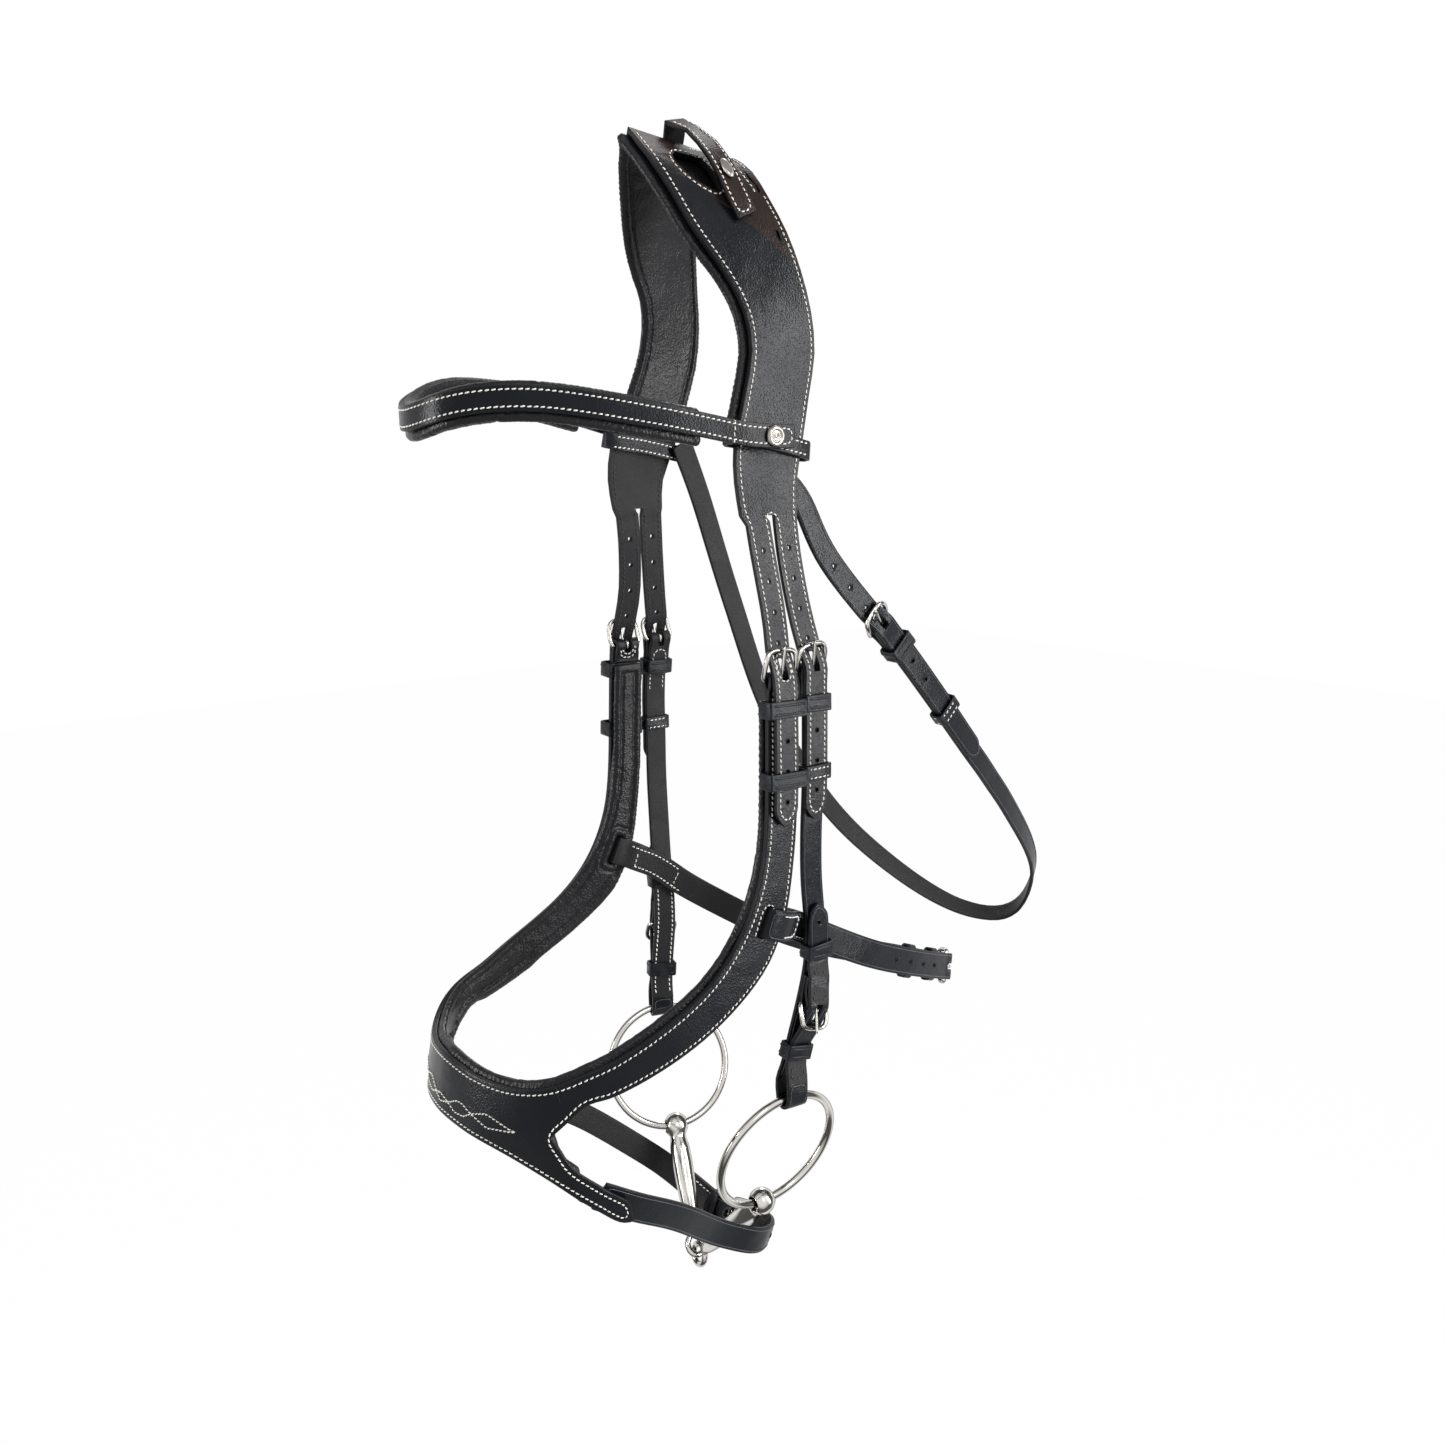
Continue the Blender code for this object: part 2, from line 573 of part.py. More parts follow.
def with_tips(path, start_tip, end_tip):
    """The path with more places near its pointed ends, and each place's share of the width."""
    reach = reaches(path)
    total = reach[-1]
    wanted = set(reach)
    for share in TIP_REACH_SHARES:
        wanted |= {total - TIP_LENGTH * share} if end_tip else set()
        wanted |= {TIP_LENGTH * share} if start_tip else set()
    made, widths = [], []
    last = None
    for goal in sorted(wanted):
        if last is not None and goal - last < GAP:
            continue
        last = goal
        i = 0
        while i < len(reach) - 2 and reach[i + 1] <= goal:
            i += 1
        f = (goal - reach[i]) / (reach[i + 1] - reach[i])
        spot = [p + (q - p) * f for p, q in zip(path[i][:2], path[i + 1][:2])]
        made.append((*spot, path[i][2]))
        width = 1.0
        if end_tip:
            width *= tip_width(total - goal)
        if start_tip:
            width *= tip_width(goal)
        widths.append(width)
    return made, widths


def tip_width(distance):
    """The share of the full width left at this distance from a pointed end."""
    f = min(distance / TIP_LENGTH, 1.0)
    return TIP_END_SHARE + (1 - TIP_END_SHARE) * math.sin(f * math.pi / 2)


def lay(seat, profile, width, thickness, tag, start_tip=False, end_tip=False, closed=False):
    """The skins and cells of a strap that follows a side view profile of (u, n)."""
    path = divided(profile, STEP)
    if closed:
        path = path[:-1]
    path, widths = with_tips(path, start_tip, end_tip)
    inner = SLOT_WIDTH / width
    columns = (-1, -inner, inner, 1)
    skins, cells = {}, []
    count = len(path)
    slotted = [spot[2] or path[k - 1][2] for k, spot in enumerate(path)]
    for k, (u, n, _) in enumerate(path):
        before = path[k - 1] if closed or k else path[0]
        after = path[(k + 1) % count] if closed or k < count - 1 else path[-1]
        du, dn = after[0] - before[0], after[1] - before[1]
        size = math.hypot(du, dn)
        side_u, side_n = -dn / size * thickness / 2, du / size * thickness / 2
        for j in used_columns(slotted[k]):
            a = columns[j] * width / 2 * widths[k]
            skins[tag, k, j] = (seat.spot(u + side_u, n + side_n, a),
                                seat.spot(u - side_u, n - side_n, a))
    for k in range(count if closed else count - 1):
        after = (k + 1) % count
        if path[k][2]:
            for j in (0, 2):
                cells.append(((tag, k, j), (tag, k, j + 1), (tag, after, j + 1), (tag, after, j)))
            continue
        here = [(tag, k, j) for j in used_columns(slotted[k])]
        there = [(tag, after, j) for j in used_columns(slotted[after])]
        cells.append((*here, *reversed(there)))
    return skins, cells


def used_columns(slotted):
    """Only the rows beside a slot need its two edges."""
    return (0, 1, 2, 3) if slotted else (0, 3)


def strap(name, seat, profile, width, thickness, **more):
    skins, cells = lay(seat, profile, width, thickness, 0, **more)
    return slab(name, skins, cells, "leather")


class Panel:
    """A sheet inset below two smooth edges; v runs from the first edge to the second."""

    def __init__(self, first, second, centre_share, inset, to_middle=True):
        self.first = [place(row) for row in first]
        self.second = [place(row) for row in second]
        self.centre = place(centre_share)
        self.inset = inset
        self.to_middle = to_middle
        self.last = len(first) - 1

    def middle(self, t, v):
        a = spline(self.first, t)
        return a + (spline(self.second, t) - a) * v

    def out(self, t, v):
        along = self.middle(min(t + NEAR_SHARE, self.last), v) - self.middle(max(t - NEAR_SHARE, 0), v)
        across = self.middle(t, v + NEAR_SHARE) - self.middle(t, v - NEAR_SHARE)
        out = along.cross(across).normalized()
        if out.dot(self.middle(t, v) - self.centre) < 0:
            out = -out
        if self.to_middle and t == self.last:
            out.x = 0
            out.normalize()
        return out

    def spot(self, t, v, n):
        return self.middle(t, v) + self.out(t, v) * (n - self.inset)


def rows_between(start, end, per_row):
    """Row numbers from start to end, evenly set."""
    count = max(1, round((end - start) * per_row))
    return [start + (end - start) * k / count for k in range(count + 1)]


def sheet(panel, rows, columns, low, high, tag):
    """The skins and cells of a sheet on a panel; a column is (v, share of the thickness)."""
    skins, cells = {}, []
    for i, t in enumerate(rows):
        for j, (v, full) in enumerate(columns):
            middle, half = (low + high) / 2, (high - low) / 2 * full
            skins[tag, i, j] = (panel.spot(t, v, middle + half), panel.spot(t, v, middle - half))
            if i and j:
                cells.append(((tag, i - 1, j - 1), (tag, i - 1, j), (tag, i, j), (tag, i, j - 1)))
    return skins, cells


def pad_columns(low, inner, high):
    """A padded sheet from low to high is thinner at both edges; inner lists the columns between."""
    rolls = ([(low, PAD_EDGE_SHARE), (low + PAD_ROLL_SHARE, 1)],
             [(high - PAD_ROLL_SHARE, 1), (high, PAD_EDGE_SHARE)])
    return rolls[0] + [(v, 1) for v in inner] + rolls[1]


def both_sides(skins, cells):
    """Adds the far side of a sheet that ends at the middle of the head."""
    twin = {key: key if abs(skins[key][0].x) < ON_MIDDLE else ("far", key) for key in skins}
    far = {}
    for key, pair in skins.items():
        far[twin[key]] = tuple(Vector((-p.x, p.y, p.z)) for p in pair)
    more = [tuple(twin[key] for key in reversed(cell)) for cell in cells]
    return {**far, **skins}, cells + more


def loop_band(name, seat, middle, height, half, low, high, wall):
    """A keeper: a band round a strap, half wide inside and from low to high inside."""
    skins, cells = {}, []
    cut = wall
    inner = ((half, high - cut), (half - cut, high), (cut - half, high), (-half, high - cut),
             (-half, low + cut), (cut - half, low), (half - cut, low), (half, low + cut))
    far_half, far_low, far_high = half + wall, low - wall, high + wall
    outer = ((far_half, far_high - cut), (far_half - cut, far_high), (cut - far_half, far_high),
             (-far_half, far_high - cut), (-far_half, far_low + cut), (cut - far_half, far_low),
             (far_half - cut, far_low), (far_half, far_low + cut))
    for i, ((a_out, n_out), (a_in, n_in)) in enumerate(zip(outer, inner)):
        for k, u in enumerate((middle - height / 2, middle + height / 2)):
            skins[i, k] = (seat.spot(u, n_out, a_out), seat.spot(u, n_in, a_in))
    for i in range(len(inner)):
        after = (i + 1) % len(inner)
        cells.append(((i, 0), (after, 0), (after, 1), (i, 1)))
    return slab(name, skins, cells, "leather")


def tube(name, path, radius, kind, closed, sides):
    """A round rod along a path."""
    points, faces = [], []
    count = len(path)
    guide = None
    for k, point in enumerate(path):
        before = path[k - 1] if closed or k else path[0]
        after = path[(k + 1) % count] if closed or k < count - 1 else path[-1]
        along = (after - before).normalized()
        if guide is None:
            guide = along.orthogonal()
        guide = (guide - along * guide.dot(along)).normalized()
        other = along.cross(guide)
        for j in range(sides):
            angle = math.tau * j / sides
            points.append(point + guide * radius * math.cos(angle) + other * radius * math.sin(angle))
    if closed:
        first = points[:sides]
        last = points[-sides:]
        shift = min(range(sides), key=lambda d: (last[d] - first[0]).length)
    for k in range(count if closed else count - 1):
        after = (k + 1) % count
        for j in range(sides):
            here, there = k * sides, after * sides
            if after:
                faces.append([here + j, here + (j + 1) % sides, there + (j + 1) % sides, there + j])
            else:
                a, b = (j + shift) % sides, (j + 1 + shift) % sides
                faces.append([here + a, here + b, there + (j + 1) % sides, there + j])
    if not closed:
        faces.append(list(range(sides)))
        faces.append(list(range((count - 1) * sides, count * sides)))
    return add_object(name, points, faces, kind, smooth=True)


def boolean(target, other, operation):
    change = target.modifiers.new(operation.title(), "BOOLEAN")
    change.operation = operation
    change.solver = "EXACT"
    change.object = other


def punch(target, seat, cuts):
    """Cuts holes and slots: each cut is u, n, a, half length, radius and half depth."""
    points, faces = [], []
    for u, n, a, half_length, radius, depth in cuts:
        centre = seat.spot(u, n, a)
        _, along, out, across = seat.frame(u)
        start = len(points)
        rim = []
        for end in (1, -1):
            for angle in HOLE_RIM:
                t = math.radians(angle)
                rim.append(along * end * (half_length + radius * math.cos(t))
                           + across * end * radius * math.sin(t))
        for level in (-depth, depth):
            points += [centre + out * level + edge for edge in rim]
        size = len(rim)
        faces.append([start + k for k in range(size)])
        faces.append([start + size + k for k in range(size)])
        for k in range(size):
            after = (k + 1) % size
            faces.append([start + k, start + after, start + size + after, start + size + k])
    boolean(target, add_object(target.name + "_cut", points, faces, None), "DIFFERENCE")


def box_cut(target, seat, u_range, n_range, half, name):
    """Cuts a box in lane coordinates."""
    points = [seat.spot(u, n, a) for u in u_range for n in n_range for a in (-half, half)]
    faces = ([0, 1, 3, 2], [4, 5, 7, 6], [0, 1, 5, 4], [2, 3, 7, 6], [0, 2, 6, 4], [1, 3, 7, 5])
    boolean(target, add_object(name, points, faces, None), "DIFFERENCE")


def swivel(target, pivot):
    """Moves the object's origin to its joint, with its shape left in place."""
    for vertex in target.data.vertices:
        vertex.co -= pivot
    target.location = pivot
    return target


def chape_turn(reach, fall=0.0):
    """A strap's way round a buckle's bar, from its inner layer to its outer one."""
    round_bar = curl(CHAPE_TURN, *BAR_TURN, TURN_STEPS)
    u_bend, n_bend = round_bar[-1]
    share = (SLOT_REACH - u_bend) / (CHAPE_SLOPE - u_bend)
    outer = n_bend + (LAYER - fall - n_bend) * share
    inner = -n_bend + (n_bend - LAYER - fall) * share
    made = [(reach, -LAYER - fall), (CHAPE_SLOPE, -LAYER - fall), (SLOT_REACH, inner, True)]
    made += [(u, n, True) for u, n in round_bar]
    return made + [(SLOT_REACH, outer), (CHAPE_SLOPE, LAYER - fall)]


def over_buckle(width, lie, slope):
    """A billet's way under the arch and over the bar, with its prong's hole drawn long."""
    arch = ARCH_SHARE * width
    rise = (BILLET_OVER - BILLET_UNDER) / (arch - BUCKLE_WIRE)
    far = SLOT_SHARE * arch
    return [(-arch - BUCKLE_WIRE, BILLET_UNDER), (-arch, BILLET_UNDER),
            (-far, BILLET_UNDER + (arch - far) * rise, True), (-BUCKLE_WIRE, BILLET_OVER, True),
            (BUCKLE_WIRE, BILLET_OVER), (slope, lie)]


def buckle(name, seat, width):
    """A steel frame: a straight bar and an arch that stands over the strap."""
    arch = ARCH_SHARE * width
    half = width / 2 + LOOSE + BUCKLE_WIRE
    side = [(u * arch, a * half) for u, a in FRAME_SHARES]
    outline = side + [(u, -a) for u, a in reversed(side) if a > 0]
    path = []
    for u, a in outline:
        rise = ARCH_RISE * math.sin(-u / arch * math.pi / 2)
        path.append(seat.spot(u, rise, a))
    return tube(name, path, BUCKLE_WIRE, "steel", True, WIRE_SIDES)


def prong(name, seat, width):
    """A steel pin curled round the bar, through the billet and down on the arch."""
    arch = ARCH_SHARE * width
    span = math.hypot(PRONG_REST, arch)
    lean = math.acos(PRONG_TURN / span) - math.atan2(arch, PRONG_REST)
    turn = curl(PRONG_TURN, -math.degrees(lean), -PRONG_CURL, PRONG_STEPS)
    tip = arch + PRONG_PAST
    path = [(-tip, PRONG_REST + PRONG_PAST * math.tan(lean)), (-arch / 2, 0)]
    path[1] = (-arch / 2, PRONG_REST - arch / 2 * math.tan(lean))
    path += turn
    made = tube(name, [seat.spot(u, n, 0) for u, n in path], PRONG_WIRE, "steel", False, PRONG_SIDES)
    return swivel(made, seat.spot(0, 0, 0))


def fastening(name, seat, width):
    buckle(name + "_buckle", seat, width)
    prong(name + "_prong", seat, width)


def keeper(name, seat, middle, half, low, high, height=KEEPER_HEIGHT):
    """A leather band round a strap; low and high are the faces that it holds."""
    room = KEEPER_ROOM
    return loop_band(name, seat, middle, height, half + room, low - room, high + room, KEEPER_WALL)


def holes(target, seat, places, n):
    """Punches round holes through a strap whose middle is at n."""
    punch(target, seat, [(u, n, 0, 0, HOLE_RADIUS, HOLE_DEPTH) for u in places])


def steps(first, count, way=1):
    return [first + way * k * HOLE_PITCH for k in range(count)]


def far_cheek_rows():
    same = len(CHEEK_LANE_SHARES) - len(FAR_CHEEK_END_SHARES)
    return [*mirrored(CHEEK_LANE_SHARES[:same]), *FAR_CHEEK_END_SHARES]


FRONT_LANE = Lane(FRONT_LANE_SHARES, HEAD_LEATHER)
CHEEK_LANE = Lane(CHEEK_LANE_SHARES, HEAD_LEATHER)
SIDES = {
    "near": (FRONT_LANE, CHEEK_LANE),
    "far": (Lane(mirrored(FRONT_LANE_SHARES), HEAD_LEATHER), Lane(far_cheek_rows(), HEAD_LEATHER)),
}
CROWN = Panel(CROWN_FRONT_SHARES, CROWN_REAR_SHARES, CROWN_CENTRE_SHARE, HEAD_LEATHER)
NOSE = Panel(NOSE_FRONT_SHARES, NOSE_REAR_SHARES, NOSE_CENTRE_SHARE, NOSE_LEATHER)
ARM = Panel(ARM_TOP_SHARES + NOSE_REAR_SHARES[CROTCH_ROW:], ARM_LOW_SHARES, ARM_CENTRE_SHARE, NOSE_LEATHER)
BROW_LOW_SHARES = tuple((x, y, z - BROW_HEIGHT / FORM_HEIGHT) for x, y, z in BROW_TOP_SHARES)
BROW = Panel(BROW_TOP_SHARES, BROW_LOW_SHARES, BROW_CENTRE_SHARE, BROW_LEATHER, to_middle=False)


def billet_of_head(lane, bar, width, lie, tip_share, tag):
    """One of the strap ends that hang down from the headpiece."""
    seat = Seat(lane, bar)
    profile = [(seat.at(HEAD_START), HEAD_LEATHER / 2), (seat.at(HEAD_START + 2 * STEP), BILLET_UNDER)]
    profile += over_buckle(width, lie, BILLET_SLOPE)
    profile.append((seat.at(lane.at_rise(tip_share)), lie))
    return lay(seat, profile, BILLET_WIDTH, STRAP_THICKNESS, tag, end_tip=True)


def make_headpiece():
    columns = [(v, 1) for v in (0, *HEAD_SPLIT_SHARES, 1)]
    rows = rows_between(0, CROWN.last, 2)
    skins, cells = sheet(CROWN, rows, columns, 0, HEAD_LEATHER, "crown")
    nose_bar = FRONT_LANE.at_rise(NOSE_BAR_SHARE)
    cheek_bar = CHEEK_LANE.at_rise(CHEEK_BAR_SHARE)
    front = billet_of_head(FRONT_LANE, nose_bar, NOSE_BILLET_WIDTH, NOSE_LIE, HEAD_TIP_SHARE, "front")
    rear = billet_of_head(CHEEK_LANE, cheek_bar, CHEEK_WIDTH, BILLET_LIE, HEAD_TIP_SHARE, "rear")
    for (more_skins, more_cells), tag, first in ((front, "front", 0), (rear, "rear", 2)):
        skins.update(more_skins)
        cells += more_cells
        cells.append((("crown", 0, first), ("crown", 0, first + 1), (tag, 0, 0), (tag, 0, 3)))
    skins, cells = both_sides(skins, cells)
    head = slab("headpiece", skins, cells, "leather")
    for side, (front_lane, cheek_lane) in SIDES.items():
        for lane, bar, width, lie in ((front_lane, nose_bar, NOSE_BILLET_WIDTH, NOSE_LIE),
                                      (cheek_lane, cheek_bar, CHEEK_WIDTH, BILLET_LIE)):
            seat = Seat(lane, bar)
            holes(head, seat, steps(-ARCH_SHARE * width - HOLE_EDGE, HEAD_HOLES, -1), BILLET_UNDER)
            holes(head, seat, steps(HOLE_PITCH, HEAD_HOLES), lie)
        way = 1 if side == "near" else -1
        for cut, outline in (("drop", TEARDROP_SHARES), ("slot", REAR_SLOT_SHARES)):
            window(head, outline, way, cut)


def window(head, outline, way, cut):
    """Cuts an opening through the headpiece, seen square to its face."""
    face = Vector((way * WINDOW_FACE_SHARES[0], 0, WINDOW_FACE_SHARES[2])).normalized() * 2 * HEAD_LEATHER
    rim = [place((way * x, y, z)) for x, y, z in outline]
    size = len(rim)
    faces = [list(range(size)), list(range(size, 2 * size))]
    for k in range(size):
        after = (k + 1) % size
        faces.append([k, after, size + after, size + k])
    points = [p - face for p in rim] + [p + face for p in rim]
    boolean(head, add_object(head.name + "_" + cut + str(way), points, faces, None), "DIFFERENCE")


def make_head_padding():
    columns = pad_columns(HEAD_PAD_REACH_SHARES[0], (0, *HEAD_SPLIT_SHARES), HEAD_PAD_REACH_SHARES[1])
    rows = rows_between(HEAD_PAD_ROW_SHARE, CROWN.last, 2)
    skins, cells = sheet(CROWN, rows, columns, -PAD_THICKNESS, -HEAD_PAD_LIE, "pad")
    skins, cells = both_sides(skins, cells)
    slab("headpiece_padding", skins, cells, "lining")


def make_poll_strap():
    lane = Lane(POLL_LANE_SHARES + tuple(reversed(mirrored(POLL_LANE_SHARES[:-1]))), 0)
    seat = Seat(lane)
    strap("poll_strap", seat, [(0, 0), (lane.length, 0)], POLL_WIDTH, STRAP_THICKNESS)
    s = lane.nearest(STUD_SHARE)
    n = STRAP_THICKNESS / 2 + GAP
    _, along, out, across = lane.frame(s)
    points, faces = [], []
    for level, full in STUD_LEVEL_SHARES:
        for k in range(STUD_SIDES):
            angle = math.tau * k / STUD_SIDES
            rim = along * STUD_LENGTH / 2 * math.cos(angle) + across * STUD_WIDTH / 2 * math.sin(angle)
            points.append(lane.spot(s, n + level * STUD_HEIGHT, 0) + full * rim)
    count = STUD_SIDES
    for ring in (0, count):
        faces += [[ring + k, ring + (k + 1) % count, ring + count + (k + 1) % count, ring + count + k]
                  for k in range(count)]
    faces += [list(range(count)), list(range(2 * count, 3 * count))]
    add_object("poll_stud", points, faces, "steel")


def make_browband():
    rows = rows_between(0, BROW.last, 2)
    skins, cells = sheet(BROW, rows, [(0, 1), (0.5, 1), (1, 1)], 0, BROW_LEATHER, "brow")
    slab("browband", skins, cells, "leather")
    rows = rows_between(BROW_PAD_ROW_SHARE, BROW.last - BROW_PAD_ROW_SHARE, 2)
    columns = pad_columns(BROW_PAD_REACH_SHARES[0], (0.5,), BROW_PAD_REACH_SHARES[1])
    skins, cells = sheet(BROW, rows, columns, -BROW_PAD - GAP, -GAP, "pad")
    slab("browband_padding", skins, cells, "lining")
    tabs = (("near", LOOP_LANE_SHARES, SNAP_ROW_SHARE),
            ("far", mirrored(LOOP_LANE_SHARES), -SNAP_ROW_SHARE))
    for side, rows, t in tabs:
        lane = Lane(rows, 0)
        half = HEAD_LEATHER / 2 + LOOSE + GAP + STRAP_THICKNESS / 2
        turn = STRAP_THICKNESS
        ends = (turn, lane.length - turn)
        profile = [(ends[0], half), (ends[1], half), (lane.length, half - turn), (lane.length, turn - half),
                   (ends[1], -half), (ends[0], -half), (0, turn - half), (0, half - turn), (ends[0], half)]
        strap("browband_loop_" + side, Seat(lane), profile, LOOP_WIDTH, STRAP_THICKNESS, closed=True)
        make_snap("browband_snap_" + side, t if t > 0 else BROW.last + t)


def make_snap(name, t):
    """A press stud's round cap, with plain rings turned into it."""
    out = BROW.out(t, 0.5)
    base = BROW.spot(t, 0.5, BROW_LEATHER + GAP)
    guide = Vector((0, 0, 1)).cross(out).normalized()
    profile = [(h * SNAP_HEIGHT, r * SNAP_RADIUS) for h, r in SNAP_SHARES]
    lathe(name, base, out, guide, profile, "steel", SNAP_SIDES)


def lathe(name, base, axis, guide, profile, kind, sides):
    """A turned solid: the profile is height along the axis and radius, closed at both ends."""
    other = axis.cross(guide)
    points, faces = [], []
    rings = []
    for height, radius in profile:
        if radius == 0:
            rings.append([len(points)])
            points.append(base + axis * height)
            continue
        rings.append(list(range(len(points), len(points) + sides)))
        for k in range(sides):
            angle = math.tau * k / sides
            spoke = guide * math.cos(angle) + other * math.sin(angle)
            points.append(base + axis * height + spoke * radius)
    for a, b in zip(rings, rings[1:]):
        for k in range(sides):
            after = (k + 1) % sides
            corners = [a[k % len(a)], a[after % len(a)], b[after % len(b)], b[k % len(b)]]
            faces.append(list(dict.fromkeys(corners)))
    for ring in (rings[0], rings[-1]):
        if len(ring) > 1:
            faces.append(ring)
    return add_object(name, points, faces, kind, smooth=True)


def make_throatlatch():
    lane = Lane(THROAT_LANE_SHARES, STRAP_THICKNESS)
    seat = Seat(lane, lane.at_rise(THROAT_BAR_SHARE))
    tip = seat.at(lane.at_rise(THROAT_TIP_SHARE))
    profile = [(seat.at(0), 0), (seat.at(THROAT_RISE), BILLET_UNDER)]
    profile += over_buckle(THROAT_WIDTH, BILLET_LIE, BILLET_SLOPE) + [(tip, BILLET_LIE)]
    billet = strap("throat_billet", seat, profile, THROAT_WIDTH, STRAP_THICKNESS, end_tip=True)
    holes(billet, seat, steps(-ARCH_SHARE * THROAT_WIDTH - HOLE_EDGE, THROAT_HOLES, -1), BILLET_UNDER)
    holes(billet, seat, steps(HOLE_PITCH, THROAT_HOLES), BILLET_LIE)
    profile = chape_turn(CHAPE_END)
    profile += [(tip + STEP, LAYER), (tip + THROAT_RISE, 0), (seat.at(lane.length), 0)]
    strap("throat_strap", seat, profile, THROAT_WIDTH, STRAP_THICKNESS)
    fastening("throat", seat, THROAT_WIDTH)
    low, high = -LAYER - STRAP_THICKNESS / 2, BILLET_LIE + STRAP_THICKNESS / 2
    keeper("throat_keeper", seat, seat.at(lane.at_rise(THROAT_KEEPER_SHARE)), THROAT_WIDTH / 2, low, high)
    runner = seat.at(lane.at_rise(THROAT_RUNNER_SHARE))
    keeper("throat_runner", seat, runner, THROAT_WIDTH / 2, -low - STRAP_THICKNESS, high, RUNNER_HEIGHT)


def make_cheek(side):
    """A cheek strap with its two buckles, its keepers and the loop that holds a ring."""
    lane = SIDES[side][1]
    top = Seat(lane, lane.at_rise(CHEEK_BAR_SHARE))
    bit = Seat(lane, lane.at_rise(BIT_BAR_SHARE), -1, LAYER + BIT_LIFT)
    wire = top.at(lane.length)
    turn = RING_WIRE + RING_SLACK + STRAP_THICKNESS / 2
    profile = chape_turn(CHAPE_END)
    profile += [(wire - BULGE_START, LAYER), (wire - BULGE_TOP, LAYER - BIT_BULGE)]
    profile += curl(turn, *RING_TURN, TURN_STEPS, (wire, LAYER + turn))
    bar = top.at(bit.start)
    for u, n in BIT_LEG:
        profile.append((bar + u, LAYER + n))
    over = over_buckle(CHEEK_WIDTH, BIT_LIE, BIT_SLOPE)
    over += [(BIT_CHAPE_END, BIT_LIE), (BIT_CHAPE_END + BIT_DROP, BIT_REST), (BIT_TIP, BIT_REST)]
    for spot in over:
        profile.append((bar - spot[0], LAYER + BIT_LIFT + spot[1], *spot[2:]))
    cheek = strap("cheek_strap_" + side, top, profile, CHEEK_WIDTH, STRAP_THICKNESS, end_tip=True)
    holes(cheek, bit, steps(BIT_CHAPE_END + HOLE_PITCH, 2), BIT_REST)
    turned = chape_turn(BIT_CHAPE_END, BIT_FALL) + [(BIT_CHAPE_END, LAYER - BIT_FALL)]
    skins, cells = lay(bit, turned, CHEEK_WIDTH - 2 * GAP, STRAP_THICKNESS, 0)
    chape = slab("cheek_chape_" + side, skins, cells, "leather")
    chape.hide_render = True
    chape.display_type = "WIRE"
    boolean(cheek, chape, "UNION")
    fastening("cheek_top_" + side, top, CHEEK_WIDTH)
    fastening("cheek_bit_" + side, bit, CHEEK_WIDTH)
    low, high = -LAYER - STRAP_THICKNESS / 2, BILLET_LIE + STRAP_THICKNESS / 2
    half = CHEEK_WIDTH / 2
    keeper("cheek_top_keeper_" + side, top, top.at(lane.at_rise(CHEEK_KEEPER_SHARE)), half, low, high)
    keeper("cheek_runner_" + side, top, top.at(lane.at_rise(CHEEK_RUNNER_SHARE)), half, LAYER
           - STRAP_THICKNESS / 2, high, RUNNER_HEIGHT)
    low = -BIT_LIFT - STRAP_THICKNESS / 2
    keeper("cheek_bit_keeper_upper_" + side, bit, BIT_UPPER, half, low, BIT_REST + STRAP_THICKNESS / 2)
    keeper("cheek_bit_keeper_lower_" + side, bit, BIT_LOWER, half, low, BIT_LEG[3][1] - BIT_LIFT
           + STRAP_THICKNESS / 2)
    return top.spot(wire, LAYER + turn, 0), lane.frame(lane.length)


def plain_columns(t):
    return [(0, 1), (0.5, 1), (1, 1)]


def nose_pad_columns(t):
    """The padding's rear edge is thin only above the crotch, where it is free."""
    first, last = NOSE_PAD_SPREAD_SHARES
    spread = min(max((t - first) / (last - first), 0), 1)
    low = NOSE_PAD_LOW_SHARES[0] + (NOSE_PAD_LOW_SHARES[1] - NOSE_PAD_LOW_SHARES[0]) * spread
    high = NOSE_PAD_HIGH_SHARE
    if t >= CROTCH_ROW:
        return pad_columns(low, (0.5,), high)[:-2] + [(high - PAD_ROLL_SHARE, 1), (1, 1)]
    if t >= NOSE_PAD_WIDE_ROW_SHARE:
        high += NOSE_PAD_MORE_SHARE * min(1, (CROTCH_ROW - t) / 2)
    return pad_columns(low, (0.5,), high)


def arm_pad_columns(t):
    rows_left = max(0, CROTCH_ROW - NOSE_PAD_WIDE_ROW_SHARE - t)
    return pad_columns(-NOSE_PAD_MORE_SHARE * min(1, rows_left / 2), (0.5,), 1 + NOSE_PAD_MORE_SHARE)


